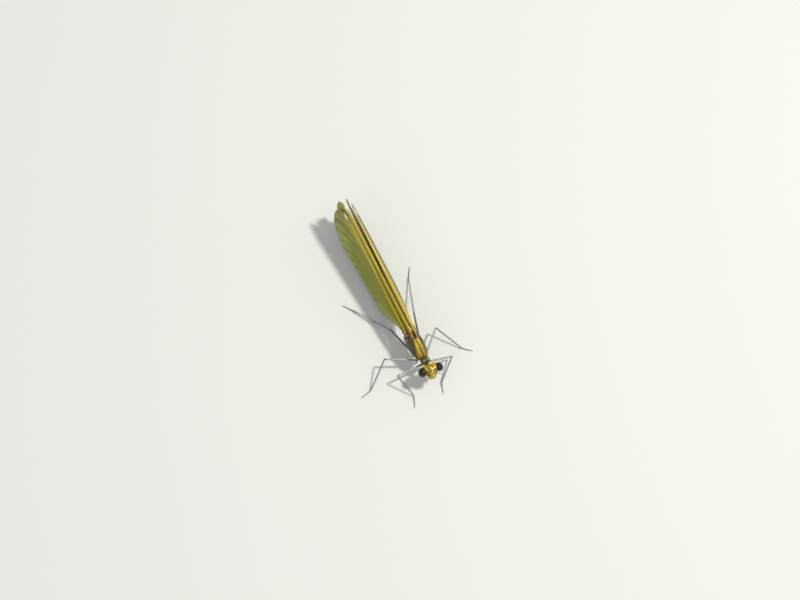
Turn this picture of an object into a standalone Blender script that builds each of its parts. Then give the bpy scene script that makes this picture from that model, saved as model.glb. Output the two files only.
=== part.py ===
"""A resting damselfly, a female demoiselle with folded wings, at life size.

+X points to the head, +Y to the insect's left and +Z up. Its feet rest on z = 0.
The sizes are in millimetres and are turned into metres when a mesh is made.
"""
import math

import bmesh
import bpy
import numpy as np
from mathutils import Euler, Matrix, Vector

MM = 0.001
GAP = 0.3
SLOPE_STEP = 0.1
SIDES = {"left": 1.0, "right": -1.0}

# Stance: where the middle of the thorax stands, seen from the middle of the footprint
THORAX_FORWARD = 13.57
THORAX_LEFT = 1.79
BODY_LEAN = -0.25
FORE_LEAN = -0.15

# Head, measured from the neck, forward, left and up
NECK_AT = (5.35, 0.0, 6.35)
HEAD_TURN = math.radians(-6.0)
EYE_AT = (1.45, 2.05, 0.15)
EYE_RADII = (1.05, 0.95, 1.2)
EYE_SINK = math.radians(14.0)
EYE_FACETS = (20, 10)
CROWN_AT = (1.2, 0.0, 0.1)
CROWN_RADII = (1.12, 2.15, 1.12)
FACE_LUMPS = (
    ((2.15, 0.0, 0.15), (0.72, 1.2, 0.82)),
    ((2.7, 0.0, -0.38), (0.56, 0.98, 0.46)),
    ((1.9, 0.92, -0.7), (0.72, 0.42, 0.6)),
    ((1.9, -0.92, -0.7), (0.72, 0.42, 0.6)),
    ((1.1, 0.0, -0.5), (0.95, 1.15, 0.75)),
)
FACE_FACETS = (16, 8)
OCELLUS_RADIUS = 0.2
OCELLI_AT = ((1.75, 0.0, 1.02), (1.35, 0.42, 1.12), (1.35, -0.42, 1.12))
LABRUM_AT = (2.82, 0.0, -1.18)
LABRUM_RADII = (0.5, 0.88, 0.34)
LABIUM_AT = (2.0, 0.0, -1.72)
LABIUM_RADII = (0.98, 0.8, 0.3)
ANTENNA_ROOT = (2.5, 0.92, 0.62)
ANTENNA_BENDS = ((0.55, 0.3, 0.42), (1.35, 0.95, 0.95), (2.3, 1.75, 1.15))
ANTENNA_RADII = (0.25, 0.25, 0.25, 0.16)
ANTENNA_CUP = 0.5
ANTENNA_SIDES = 6

# Trunk, as keys of distance forward against half width, top, bottom and fullness of the roof
PROTHORAX_KEYS = (
    (3.7, 0.95, 6.95, 5.45, 2.1),
    (3.85, 1.14, 7.3, 5.2, 2.1),
    (4.1, 1.12, 7.05, 5.02, 2.1),
    (4.4, 1.2, 7.25, 4.98, 2.1),
    (4.7, 0.98, 7.02, 5.25, 2.1),
    (4.95, 0.56, 6.75, 5.75, 2.1),
    (5.15, 0.42, 6.72, 5.88, 2.1),
)
THORAX_KEYS = (
    (3.4, 1.05, 7.0, 5.45, 1.9),
    (3.0, 1.38, 7.5, 4.95, 1.7),
    (2.2, 1.68, 8.0, 4.5, 1.6),
    (1.0, 1.88, 8.55, 4.2, 1.6),
    (-0.2, 1.9, 8.9, 4.15, 1.7),
    (-0.75, 1.9, 8.88, 4.2, 1.8),
    (-1.4, 1.86, 8.1, 4.32, 2.1),
    (-2.4, 1.76, 7.45, 4.5, 2.3),
    (-3.2, 1.46, 6.95, 4.62, 2.3),
    (-4.1, 0.84, 6.2, 4.75, 2.0),
)
HINGE_RADII = (0.8, 0.6, 0.8)
HINGE_AHEAD = 0.35
HINGE_FACETS = (14, 8)
SEAT_REACH = 3.0
TRUNK_SIDES = 26
TRUNK_WAIST = 0.45
TRUNK_BELLY = 2.3
THORAX_STATIONS = 16

# Abdomen: the length of each segment, its radius, and the line it follows
SEGMENT_LENGTHS = (1.0, 2.6, 5.2, 5.4, 5.2, 4.8, 3.9, 2.6, 1.8, 1.15)
SEGMENT_RADII = (0.84, 0.76, 0.62, 0.58, 0.57, 0.58, 0.62, 0.7, 0.72, 0.62)
ABDOMEN_KEYS = (
    (-4.25, -0.25, 5.42),
    (-14.0, -0.35, 4.6),
    (-24.0, -0.28, 4.9),
    (-38.5, -0.1, 6.9),
)
ABDOMEN_SIDES = 14
SEGMENT_WAIST = 0.97
SEGMENT_RIM = 1.03
CERCUS_ROOT = (0.45, 0.3, 0.18)
CERCUS_TIP = (0.65, 0.42, 0.23)
CERCUS_RADII = (0.2, 0.2, 0.08)
OVIPOSITOR_LENGTH = 2.9
OVIPOSITOR_RADIUS = 0.27
OVIPOSITOR_DROP = 1.32
OVIPOSITOR_SWELL = ((0.0, 0.5), (0.15, 1.0), (0.55, 1.1), (0.85, 0.75), (1.0, 0.35))

# Wings: root and tip of the straight line that the front edge leaves from
WING_THICKNESS = 0.46
VEIN_HEIGHT = 0.08
VEIN_HALF_WIDTH = 0.13
WING_STATIONS = 17
ROOT_SLANT = 0.65
ROOT_SLANT_FADE = 6
ROOT_DEPTH = 0.12
TIP_SHARE = 0.36
TIP_BEND = (0.76, 2.4)
SWELL_END = 0.6
SWELL_POWER = 1.05
HIND_CLOSE = 2.2
TIP_STATION = 0.997
VEIN_SPREAD = 0.13
VEIN_FOOT_MOST = 0.035
VEIN_SHARES = (0.1, 0.25, 0.42, 0.6, 0.8)
VEIN_ROOT_SHARES = (0.22, 0.38, 0.54, 0.7, 0.85)
WINGS = {
    "forewing": {
        "root": (-1.2, 0.44, 9.32),
        "edge_rise": math.radians(8.1),
        "tip_side": 0.41,
        "length": 36.1,
        "width": 9.2,
        "flare": {"left": math.radians(12.5), "right": math.radians(11.5)},
        "hinge_shift": (0.0, 0.0, 0.0),
    },
    "hindwing": {
        "root": (-2.9, 1.6, 8.2),
        "edge_rise": math.radians(8.1),
        "tip_side": 1.58,
        "length": 33.2,
        "width": 9.0,
        "flare": {"left": math.radians(18.0), "right": math.radians(14.0)},
        "hinge_shift": (0.1, -0.3, -0.3),
    },
}

# Legs: coxa joint, knee, ankle and end of the foot, forward, left and up
LEGS = {
    "front_left": ((4.1, 0.8, 3.87), (4.9, 6.98, 1.99), (9.02, 2.13), (11.3, 1.3)),
    "front_right": ((4.1, -0.8, 3.87), (4.14, -7.14, 4.24), (9.0, -5.1), (11.36, -6.12)),
    "middle_left": ((2.6, 0.95, 3.37), (-2.51, 6.54, 3.39), (3.69, 10.32), (5.21, 12.11)),
    "middle_right": ((2.6, -0.95, 3.37), (-0.74, -7.9, 4.38), (3.45, -13.31), (4.01, -15.76)),
    "hind_left": ((0.9, 1.0, 3.17), (-7.84, 3.65, 3.63), (-16.69, 7.29), (-19.31, 8.92)),
    "hind_right": ((0.9, -1.0, 3.17), (-7.23, -2.69, 1.76), (-15.55, -7.87), (-17.68, -9.45)),
}
COXA_ROOTS = {"front": (4.35, 0.62), "middle": (2.25, 0.68), "hind": (0.62, 0.74)}
COXA_RADII = (0.42, 0.26)
COXA_DROP = 0.27
FEMUR_RADII = (0.28, 0.26)
TIBIA_RADII = (0.25, 0.25)
TARSUS_RADII = (0.25, 0.25, 0.25, 0.16)
ANKLE_HEIGHT = 0.42
FOOT_HEIGHT = 0.22
LEG_SIDES = 8
JOINT_GAPS = (0.4, 0.3, 0.3)
SOLE_BENDS = ((0.3, 0.7), (0.8, 0.2))

COLOURS = {
    "head_gold": ((0.55, 0.42, 0.04), 0.35, 0.5),
    "eye_brown": ((0.04, 0.035, 0.02), 0.12, 0.0),
    "mouth_yellow": ((0.6, 0.47, 0.08), 0.4, 0.2),
    "thorax_bronze": ((0.32, 0.27, 0.03), 0.32, 0.7),
    "abdomen_bronze": ((0.08, 0.09, 0.03), 0.3, 0.6),
    "wing_olive": ((0.3, 0.34, 0.03), 0.3, 0.2),
    "leg_grey": ((0.16, 0.18, 0.2), 0.4, 0.0),
    "antenna_black": ((0.03, 0.03, 0.035), 0.4, 0.0),
}


def clear_scene():
    """Remove whatever the start-up file holds."""
    for thing in list(bpy.data.objects):
        bpy.data.objects.remove(thing, do_unlink=True)


def finish_material(name):
    """A Principled material with the named colour, roughness and metallic value."""
    material = bpy.data.materials.get(name)
    if material is None:
        colour, roughness, metallic = COLOURS[name]
        material = bpy.data.materials.new(name)
        material.use_nodes = True
        shader = material.node_tree.nodes["Principled BSDF"]
        shader.inputs["Base Color"].default_value = (*colour, 1.0)
        shader.inputs["Roughness"].default_value = roughness
        shader.inputs["Metallic"].default_value = metallic
    return material


def add_empty(name, place, turn=0.0, parent=None):
    """An empty that a group of pieces is placed by."""
    empty = bpy.data.objects.new(name, None)
    bpy.context.scene.collection.objects.link(empty)
    empty.location = Vector(place) * MM
    empty.rotation_euler = Euler((0.0, 0.0, turn))
    empty.parent = parent
    return empty


def add_piece(name, points, faces, material, parent=None):
    """One closed object from points in millimetres, with its faces turned outwards."""
    mesh = bpy.data.meshes.new(name)
    mesh.from_pydata((np.asarray(points, float) * MM).tolist(), [], faces)
    mesh.materials.append(finish_material(material))
    shape = bmesh.new()
    shape.from_mesh(mesh)
    bmesh.ops.recalc_face_normals(shape, faces=shape.faces)
    shape.to_mesh(mesh)
    shape.free()
    piece = bpy.data.objects.new(name, mesh)
    bpy.context.scene.collection.objects.link(piece)
    piece.parent = parent
    smooth(piece)
    return piece


def smooth(piece, angle=math.radians(40.0)):
    """Shade round stretches smooth and keep the sharp edges."""
    piece.data.shade_smooth()
    piece.data.set_sharp_from_angle(angle=angle)


def loft(name, rings, material, parent=None):
    """A closed skin over rings of equal counts, with a fan over each end ring."""
    rings = np.asarray(rings, float)
    count, sides = rings.shape[:2]
    points = rings.reshape(-1, 3)
    caps = np.array([rings[0].mean(axis=0), rings[-1].mean(axis=0)])
    faces = []
    for row in range(count - 1):
        for side in range(sides):
            after = (side + 1) % sides
            low = row * sides
            high = low + sides
            faces.append((low + side, low + after, high + after, high + side))
    first = count * sides
    last_ring = (count - 1) * sides
    for side in range(sides):
        after = (side + 1) % sides
        faces.append((first, side, after))
        faces.append((first + 1, last_ring + after, last_ring + side))
    return add_piece(name, np.vstack([points, caps]), faces, material, parent)


def through(keys, at):
    """A smooth line through keys, each row a place and its values, read at the place `at`.

    Each stretch is a cubic whose end slopes are the slopes between the keys beside it.
    """
    table = np.array(sorted(keys), float)
    place = table[:, 0]
    values = table[:, 1:]
    slopes = np.gradient(values, place, axis=0)
    row = int(np.clip(np.searchsorted(place, at) - 1, 0, len(place) - 2))
    span = place[row + 1] - place[row]
    t = (at - place[row]) / span
    start = values[row] * (1 + 2 * t) * (1 - t) ** 2 + slopes[row] * span * t * (1 - t) ** 2
    end = values[row + 1] * t * t * (3 - 2 * t) + slopes[row + 1] * span * t * t * (t - 1)
    return start + end


def trunk_ring(forward, side, half_width, top, bottom, roof):
    """A cross-section of the trunk: a roof that can be ridged or full, over a fuller belly."""
    angle = np.linspace(0.0, 2 * math.pi, TRUNK_SIDES, endpoint=False)
    middle = bottom + TRUNK_WAIST * (top - bottom)
    across = np.cos(angle)
    rise = np.sin(angle)
    power = np.where(rise > 0, roof, TRUNK_BELLY)
    left = half_width * np.sign(across) * np.abs(across) ** (2 / power)
    reach = np.where(rise > 0, top - middle, middle - bottom)
    up = middle + reach * np.sign(rise) * np.abs(rise) ** (2 / power)
    return np.column_stack([np.full(TRUNK_SIDES, forward), side + left, up])


def frame_across(direction):
    """Two directions square to a line, the second as level as can be."""
    line = Vector(direction).normalized()
    level = line.cross(Vector((0, 0, 1)))
    if level.length < 0.05:
        level = Vector((0, 1, 0))
    level.normalize()
    return np.array(level), np.array(level.cross(line))


def tube(name, path, radii, sides, material, parent=None, start=None, end=None, floor=None):
    """A round limb along a path. Each end can be cut by a plane, given as a point and a normal."""
    path = np.asarray(path, float)
    steps = np.diff(path, axis=0)
    rings = []
    for index, (middle, radius) in enumerate(zip(path, radii)):
        before = steps[max(index - 1, 0)]
        after = steps[min(index, len(steps) - 1)]
        along = before / np.linalg.norm(before) + after / np.linalg.norm(after)
        level, upright = frame_across(along)
        angle = np.linspace(0, 2 * math.pi, sides, endpoint=False) + math.pi / sides
        ring = middle + radius * (np.outer(np.cos(angle), level) + np.outer(np.sin(angle), upright))
        rings.append(ring)
    for ring, cut, step in ((rings[0], start, steps[0]), (rings[-1], end, steps[-1])):
        if cut is not None:
            point, normal = cut
            slide = ((point - ring) @ normal) / (step @ normal)
            ring += np.outer(slide, step)
    if floor is not None:
        for ring in rings:
            ring[:, 2] = np.maximum(ring[:, 2], floor)
    return loft(name, rings, material, parent)


def ellipsoid(name, place, radii, material, parent, segments=24, rings=12, turn=(0, 0, 0)):
    """A closed egg shape with its poles up and down."""
    shape = bmesh.new()
    bmesh.ops.create_uvsphere(shape, u_segments=segments, v_segments=rings, radius=1.0)
    size = Matrix.Diagonal((*(np.array(radii) * MM), 1.0))
    matrix = Matrix.Translation(Vector(place) * MM) @ Euler(turn).to_matrix().to_4x4() @ size
    bmesh.ops.transform(shape, matrix=matrix, verts=shape.verts)
    mesh = bpy.data.meshes.new(name)
    shape.to_mesh(mesh)
    shape.free()
    mesh.materials.append(finish_material(material))
    piece = bpy.data.objects.new(name, mesh)
    bpy.context.scene.collection.objects.link(piece)
    piece.parent = parent
    smooth(piece)
    return piece


def keep_largest(piece):
    """Drop every closed surface but the one with the most faces."""
    shape = bmesh.new()
    shape.from_mesh(piece.data)
    unseen = set(shape.faces)
    groups = []
    while unseen:
        group = set()
        edge_of_group = [unseen.pop()]
        while edge_of_group:
            face = edge_of_group.pop()
            group.add(face)
            near = {other for edge in face.edges for other in edge.link_faces}
            fresh = near & unseen
            unseen -= fresh
            edge_of_group.extend(fresh)
        groups.append(group)
    largest = max(groups, key=len)
    spare = [face for group in groups if group is not largest for face in group]
    bmesh.ops.delete(shape, geom=spare, context="FACES")
    bmesh.ops.triangulate(shape, faces=shape.faces)
    shape.to_mesh(piece.data)
    shape.free()


def combine(piece, others, operation):
    """Join other objects to a piece, or cut them from it, by one Boolean, and remove them."""
    bpy.context.view_layer.update()
    group = bpy.data.collections.new(piece.name + "_" + operation.lower())
    bpy.context.scene.collection.children.link(group)
    for other in others:
        group.objects.link(other)
    boolean = piece.modifiers.new("combine", "BOOLEAN")
    boolean.operation = operation
    boolean.operand_type = "COLLECTION"
    boolean.collection = group
    boolean.solver = "EXACT"
    bpy.context.view_layer.update()
    shaped = piece.evaluated_get(bpy.context.evaluated_depsgraph_get())
    result = bpy.data.meshes.new_from_object(shaped)
    piece.modifiers.clear()
    piece.data = result
    for other in others:
        bpy.data.objects.remove(other, do_unlink=True)
    bpy.data.collections.remove(group)
    keep_largest(piece)
    smooth(piece)


def mirrored(place, side):
    """A place on the left side, or its twin on the right."""
    return (place[0], place[1] * side, place[2])


def room_for(name, place, radii, parent, facets=FACE_FACETS, turn=(0, 0, 0)):
    """The egg-shaped room that a piece needs in the head, a gap larger than the piece."""
    wide = tuple(radius + GAP for radius in radii)
    return ellipsoid(f"room_{name}", place, wide, "head_gold", parent, *facets, turn)


def make_head(parent):
    """The head: crown between the eyes, face lumps, three ocelli, and a cup for each eye."""
    head = ellipsoid("head", CROWN_AT, CROWN_RADII, "head_gold", parent, 24, 12)
    lumps = []
    for number, (place, radii) in enumerate(FACE_LUMPS):
        lumps.append(ellipsoid(f"lump_{number}", place, radii, "head_gold", parent, *FACE_FACETS))
    for number, place in enumerate(OCELLI_AT):
        radii = (OCELLUS_RADIUS,) * 3
        lumps.append(ellipsoid(f"ocellus_{number}", place, radii, "head_gold", parent, 8, 5))
    combine(head, lumps, "UNION")
    cups = [
        room_for("labrum", LABRUM_AT, LABRUM_RADII, parent),
        room_for("labium", LABIUM_AT, LABIUM_RADII, parent),
    ]
    for name, side in SIDES.items():
        turn = (EYE_SINK * side, 0, 0)
        at = mirrored(EYE_AT, side)
        cups.append(room_for(f"eye_{name}", at, EYE_RADII, parent, EYE_FACETS, turn))
        at = mirrored(ANTENNA_ROOT, side)
        cups.append(room_for(f"antenna_{name}", at, (ANTENNA_CUP - GAP,) * 3, parent))
    combine(head, cups, "DIFFERENCE")


def make_mouth(parent):
    """Upper lip and lower lip, with the line of the mouth between them."""
    ellipsoid("labrum", LABRUM_AT, LABRUM_RADII, "mouth_yellow", parent, *FACE_FACETS)
    labium = ellipsoid("labium", LABIUM_AT, LABIUM_RADII, "mouth_yellow", parent, *FACE_FACETS)
    combine(labium, [room_for("lip", LABRUM_AT, LABRUM_RADII, parent)], "DIFFERENCE")


def make_eyes(parent):
    """The round compound eyes at the ends of the head."""
    for name, side in SIDES.items():
        turn = (EYE_SINK * side, 0, 0)
        at = mirrored(EYE_AT, side)
        ellipsoid(f"eye_{name}", at, EYE_RADII, "eye_brown", parent, *EYE_FACETS, turn)


def make_antennae(parent):
    """Short feelers: a stout base that runs out into a thin, outward-leaning whip."""
    for name, side in SIDES.items():
        root = np.array(mirrored(ANTENNA_ROOT, side))
        path = [root] + [root + np.array(mirrored(bend, side)) for bend in ANTENNA_BENDS]
        tube(f"antenna_{name}", path, ANTENNA_RADII, ANTENNA_SIDES, "antenna_black", parent)


def seat_block(name, middle, edge, back, out, deep, parent):
    """The room that a wing root needs: a block behind the root's edge, a gap larger all round."""
    half_height = 0.5 * deep + 2 * GAP
    half_width = 0.5 * WING_THICKNESS + VEIN_HEIGHT + GAP
    corners = []
    for reach in (-GAP, SEAT_REACH):
        for high in (-half_height, half_height):
            for wide in (-half_width, half_width):
                corners.append(middle + reach * back + high * edge + wide * out)
    faces = [(0, 1, 3, 2), (4, 6, 7, 5), (0, 4, 5, 1), (2, 3, 7, 6), (0, 2, 6, 4), (1, 5, 7, 3)]
    return add_piece(name, corners, faces, "thorax_bronze", parent)


def make_trunk(parent):
    """The small prothorax behind the neck, and the thorax that carries legs and wings."""
    rings = [trunk_ring(key[0], FORE_LEAN, *key[1:]) for key in PROTHORAX_KEYS]
    loft("prothorax", rings, "thorax_bronze", parent)
    ends = (THORAX_KEYS[0][0], THORAX_KEYS[-1][0])
    places = np.linspace(*ends, THORAX_STATIONS)
    rings = [trunk_ring(place, BODY_LEAN, *through(THORAX_KEYS, place)) for place in places]
    thorax = loft("thorax", rings, "thorax_bronze", parent)
    hinges = []
    seats = []
    for kind, plan in WINGS.items():
        for name, side in SIDES.items():
            root, along, down, out = wing_axes(plan, name, side)
            deep = plan["width"] * ROOT_DEPTH
            middle = root + 0.5 * deep * down
            at = middle - HINGE_AHEAD * along + np.array(mirrored(plan["hinge_shift"], side))
            hinge = f"hinge_{kind}_{name}"
            hinges.append(ellipsoid(hinge, at, HINGE_RADII, "thorax_bronze", parent, *HINGE_FACETS))
            edge = down + ROOT_SLANT * along
            edge /= np.linalg.norm(edge)
            back = np.cross(out, edge)
            back *= np.sign(back @ along)
            seats.append(seat_block(f"seat_{kind}_{name}", middle, edge, back, out, deep, parent))
    combine(thorax, hinges, "UNION")
    combine(thorax, seats, "DIFFERENCE")


def abdomen_line(distance):
    """The point and the direction of the abdomen's middle line, a distance from its root."""
    forward = ABDOMEN_KEYS[0][0] - distance
    point = np.array([forward, *through(ABDOMEN_KEYS, forward)])
    behind = np.array([forward - SLOPE_STEP, *through(ABDOMEN_KEYS, forward - SLOPE_STEP)])
    direction = behind - point
    return point, direction / np.linalg.norm(direction)


def abdomen_ring(distance, radius, sides=ABDOMEN_SIDES, drop=0.0):
    """A ring square to the abdomen's line, set below the line where asked."""
    middle, direction = abdomen_line(distance)
    level, upright = frame_across(direction)
    angle = np.linspace(0, 2 * math.pi, sides, endpoint=False) + math.pi / sides
    middle = middle - np.array([0, 0, drop])
    across = np.outer(radius * np.cos(angle), level)
    return middle + across + np.outer(radius * np.sin(angle), upright)


def make_abdomen(parent):
    """Ten segments end to end, each a little thicker at its hind rim, and the cerci."""
    start = 0.0
    for number, (length, radius) in enumerate(zip(SEGMENT_LENGTHS, SEGMENT_RADII), start=1):
        before = SEGMENT_RADII[max(number - 2, 0)]
        after = SEGMENT_RADII[min(number, len(SEGMENT_RADII) - 1)]
        front = 0.5 * (radius + before)
        back = 0.5 * (radius + after)
        swell = (
            (0.0, front * SEGMENT_WAIST),
            (0.12, front),
            (0.5, radius),
            (0.86, back),
            (1.0, back * SEGMENT_RIM),
        )
        rings = []
        for share, size in swell:
            rings.append(abdomen_ring(start + GAP / 2 + share * (length - GAP), size))
        segment = loft(f"abdomen_{number:02d}", rings, "abdomen_bronze", parent)
        start += length
    cerci = []
    for name, side in SIDES.items():
        back, apart, above = CERCUS_ROOT
        middle = abdomen_line(start - back)[0]
        root = middle + np.array([0, side * apart, above])
        back, apart, above = CERCUS_TIP
        middle = abdomen_line(start + back)[0]
        tip = middle + np.array([0, side * apart, above])
        path = [root, 0.5 * (root + tip), tip]
        cerci.append(tube(f"cercus_{name}", path, CERCUS_RADII, 6, "abdomen_bronze", parent))
    combine(segment, cerci, "UNION")
    return start


def make_ovipositor(parent, tail):
    """The short blade under the last two segments."""
    rings = []
    for share, swell in OVIPOSITOR_SWELL:
        place = tail - (1 - share) * OVIPOSITOR_LENGTH
        rings.append(abdomen_ring(place, OVIPOSITOR_RADIUS * swell, 8, OVIPOSITOR_DROP))
    loft("ovipositor", rings, "abdomen_bronze", parent)


def wing_edges(share, width):
    """Depth of the front and hind edges below the root line, at a share of the wing's length.

    The front edge is straight and ends in a quarter ellipse. The hind edge swells along
    a sine to its full depth and closes to the tip in a quarter ellipse.
    """
    apex = TIP_SHARE * width
    bend_start, bend_power = TIP_BEND
    bend = max(share - bend_start, 0.0) / (1 - bend_start)
    front = apex * (1 - math.sqrt(1 - bend**bend_power))
    if share < SWELL_END:
        swell = math.sin(0.5 * math.pi * (share / SWELL_END) ** SWELL_POWER)
        return front, width * (ROOT_DEPTH + (1 - ROOT_DEPTH) * swell)
    close = (share - SWELL_END) / (1 - SWELL_END)
    return front, apex + (width - apex) * math.sqrt(1 - close**HIND_CLOSE)


def wing_lines(share, span):
    """Shares of the wing's depth where lines run along it, and how high each one stands.

    The lines start evenly spread at the root and drift apart to their places in the blade.
    Each main vein takes three lines: its two feet, and its crest between them.
    """
    blend = math.exp(-share / VEIN_SPREAD)
    places = [0.0]
    heights = [0.0]
    foot = min(VEIN_HALF_WIDTH / span, VEIN_FOOT_MOST)
    for blade, root in zip(VEIN_SHARES, VEIN_ROOT_SHARES):
        middle = blade + (root - blade) * blend
        places += [middle - foot, middle, middle + foot]
        heights += [0.0, VEIN_HEIGHT, 0.0]
    places.append(1.0)
    heights.append(0.0)
    return np.array(places), np.array(heights)


def wing_axes(plan, name, side):
    """Root point and the directions along, down and out of one wing."""
    root = np.array(mirrored(plan["root"], side)) + np.array([0, BODY_LEAN, 0])
    run = plan["length"] * math.cos(plan["edge_rise"])
    rise = plan["length"] * math.sin(plan["edge_rise"])
    drift = side * (plan["tip_side"] - plan["root"][1]) - BODY_LEAN
    along = np.array([-run, drift, rise])
    along /= np.linalg.norm(along)
    flare = plan["flare"][name]
    hang = np.array([0, side * math.sin(flare), -math.cos(flare)])
    down = hang - (hang @ along) * along
    down /= np.linalg.norm(down)
    return root, along, down, side * np.cross(down, along)


def make_wing(kind, name, side, parent):
    """One folded wing: a flat blade with its main veins raised on the outer face."""
    plan = WINGS[kind]
    root, along, down, out = wing_axes(plan, name, side)
    outer = []
    inner = []
    for step in np.linspace(0, 1, WING_STATIONS + 1):
        share = TIP_STATION * math.sin(0.5 * math.pi * step)
        front, hind = wing_edges(share, plan["width"])
        places, heights = wing_lines(share, hind - front)
        depth = front + places * (hind - front)
        slant = ROOT_SLANT * (1 - share) ** ROOT_SLANT_FADE
        reach = share * plan["length"] + slant * depth
        sheet = root + np.outer(reach, along) + np.outer(depth, down)
        outer.append(sheet + np.outer(0.5 * WING_THICKNESS + heights, out))
        inner.append(sheet - 0.5 * WING_THICKNESS * out)
    rows = len(outer)
    lines = len(outer[0])
    points = np.vstack([np.array(outer).reshape(-1, 3), np.array(inner).reshape(-1, 3)])
    back = rows * lines
    faces = []
    for row in range(rows - 1):
        for line in range(lines - 1):
            a = row * lines + line
            b = a + 1
            c = a + lines
            d = c + 1
            faces += [(a, b, d), (a, d, c)]
            faces += [(back + a, back + d, back + b), (back + a, back + c, back + d)]
    last_row = (rows - 1) * lines
    rim = list(range(0, last_row, lines)) + list(range(last_row, rows * lines))
    rim += list(range(last_row - 1, 0, -lines)) + list(range(lines - 2, 0, -1))
    for here, there in zip(rim, rim[1:] + rim[:1]):
        faces.append((here, there, back + there, back + here))
    add_piece(f"{kind}_{name}", points, faces, "wing_olive", parent)


def make_leg(name, parent):
    """Coxa, femur, tibia and tarsus, parted by cuts that halve each joint's angle."""
    pair, side_name = name.split("_")
    side = SIDES[side_name]
    joint, knee, ankle, toe = LEGS[name]
    forward, apart = COXA_ROOTS[pair]
    keys, lean = (PROTHORAX_KEYS, FORE_LEAN) if pair == "front" else (THORAX_KEYS, BODY_LEAN)
    belly = through(keys, forward)[2]
    slope = (through(keys, forward + SLOPE_STEP)[2] - belly) / SLOPE_STEP
    square = np.array([-slope, 0, 1.0]) / math.hypot(slope, 1.0)
    root = np.array([forward, lean + side * apart, belly]) - COXA_DROP * square
    path = [root, np.array(joint), np.array(knee), np.array([*ankle, ANKLE_HEIGHT])]
    path.append(np.array([*toe, FOOT_HEIGHT]))
    lines = [(b - a) / np.linalg.norm(b - a) for a, b in zip(path, path[1:])]
    normals = [(a + b) / np.linalg.norm(a + b) for a, b in zip(lines, lines[1:])]

    def cuts(number):
        """The planes that close a piece, half a gap off the joints at its two ends."""
        first = (path[0], square)
        last = None
        if number:
            normal = normals[number - 1]
            first = (path[number] + 0.5 * JOINT_GAPS[number - 1] * normal, normal)
        if number < len(normals):
            normal = normals[number]
            last = (path[number + 1] - 0.5 * JOINT_GAPS[number] * normal, normal)
        return first, last

    parts = (("coxa", COXA_RADII), ("femur", FEMUR_RADII), ("tibia", TIBIA_RADII))
    for number, (part, radii) in enumerate(parts):
        start, end = cuts(number)
        ends = [path[number], 0.5 * (path[number] + path[number + 1]), path[number + 1]]
        sizes = (radii[0], 0.5 * (radii[0] + radii[1]), radii[1])
        tube(f"{part}_{name}", ends, sizes, LEG_SIDES, "leg_grey", parent, start, end)
    heel, toe_end = path[3:]
    sole = np.array([0, 0, FOOT_HEIGHT - ANKLE_HEIGHT])
    foot = [heel + share * (toe_end - heel) + sink * sole for share, sink in SOLE_BENDS]
    foot = [heel, *foot, toe_end]
    start = cuts(3)[0]
    tube(f"tarsus_{name}", foot, TARSUS_RADII, LEG_SIDES, "leg_grey", parent, start, None, 0.0)


clear_scene()
insect = add_empty("insect", (THORAX_FORWARD, THORAX_LEFT, 0.0))
head_group = add_empty("head_group", NECK_AT, HEAD_TURN, insect)
make_head(head_group)
make_mouth(head_group)
make_eyes(head_group)
make_antennae(head_group)
make_trunk(insect)
tail_end = make_abdomen(insect)
make_ovipositor(insect, tail_end)
for wing_kind in WINGS:
    for side_name, side_sign in SIDES.items():
        make_wing(wing_kind, side_name, side_sign, insect)
for leg_name in LEGS:
    make_leg(leg_name, insect)
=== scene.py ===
"""A resting damselfly, a female demoiselle with folded wings, finished for the studio.

+X points to the head, +Y to the insect's left and +Z up, and its feet stand on z = 0.
Sizes are in millimetres; a mesh is turned into metres where it is made.
"""
import math

import bpy
import numpy as np
from mathutils import Matrix, Vector


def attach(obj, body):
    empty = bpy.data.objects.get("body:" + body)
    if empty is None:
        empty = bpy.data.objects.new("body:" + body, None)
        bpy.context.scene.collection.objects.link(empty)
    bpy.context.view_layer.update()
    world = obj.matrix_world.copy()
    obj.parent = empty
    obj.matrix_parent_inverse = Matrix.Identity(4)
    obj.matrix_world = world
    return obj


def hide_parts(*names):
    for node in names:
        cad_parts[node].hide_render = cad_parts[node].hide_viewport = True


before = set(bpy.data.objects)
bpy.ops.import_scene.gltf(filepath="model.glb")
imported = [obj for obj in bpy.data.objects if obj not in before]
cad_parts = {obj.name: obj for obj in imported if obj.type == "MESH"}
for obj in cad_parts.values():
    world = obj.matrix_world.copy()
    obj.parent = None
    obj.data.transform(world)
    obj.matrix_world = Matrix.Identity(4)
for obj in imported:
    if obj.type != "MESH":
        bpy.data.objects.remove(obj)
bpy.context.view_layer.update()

# The view. A long lens looks down on the insect from its front right, turned so that the
# head points to the lower right of the picture and the folded wings to the upper left.
MM = 0.001
THORAX_AT = np.array([13.57, 1.79, 0.0])
VIEW_RIGHT = Vector((0.4696, 0.8788, 0.0853)).normalized()
VIEW_BACK = Vector((0.2781, -0.2389, 0.9304)).normalized()
VIEW_CENTRE = (-3.376, 12.37, 1.97)
LENS = 100.0
SENSOR = 36.0
PIXELS_PER_MM = 4.362
PICTURE_WIDTH = 800

view_back = (VIEW_BACK - VIEW_BACK.dot(VIEW_RIGHT) * VIEW_RIGHT).normalized()
view_up = view_back.cross(VIEW_RIGHT)
view_distance = PICTURE_WIDTH * LENS / SENSOR / PIXELS_PER_MM
right, up, near = VIEW_CENTRE
camera_at = Vector(THORAX_AT) + right * VIEW_RIGHT + up * view_up + (near + view_distance) * view_back
camera_data = bpy.data.cameras.new("camera")
camera_data.lens = LENS
camera_data.sensor_width = SENSOR
camera_data.clip_start = 0.01
camera_data.clip_end = 20.0
camera = bpy.data.objects.new("camera", camera_data)
bpy.context.scene.collection.objects.link(camera)
turn = Matrix((VIEW_RIGHT, view_up, view_back)).transposed().to_4x4()
camera.matrix_world = Matrix.Translation(camera_at * MM) @ turn
bpy.context.scene.camera = camera

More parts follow.
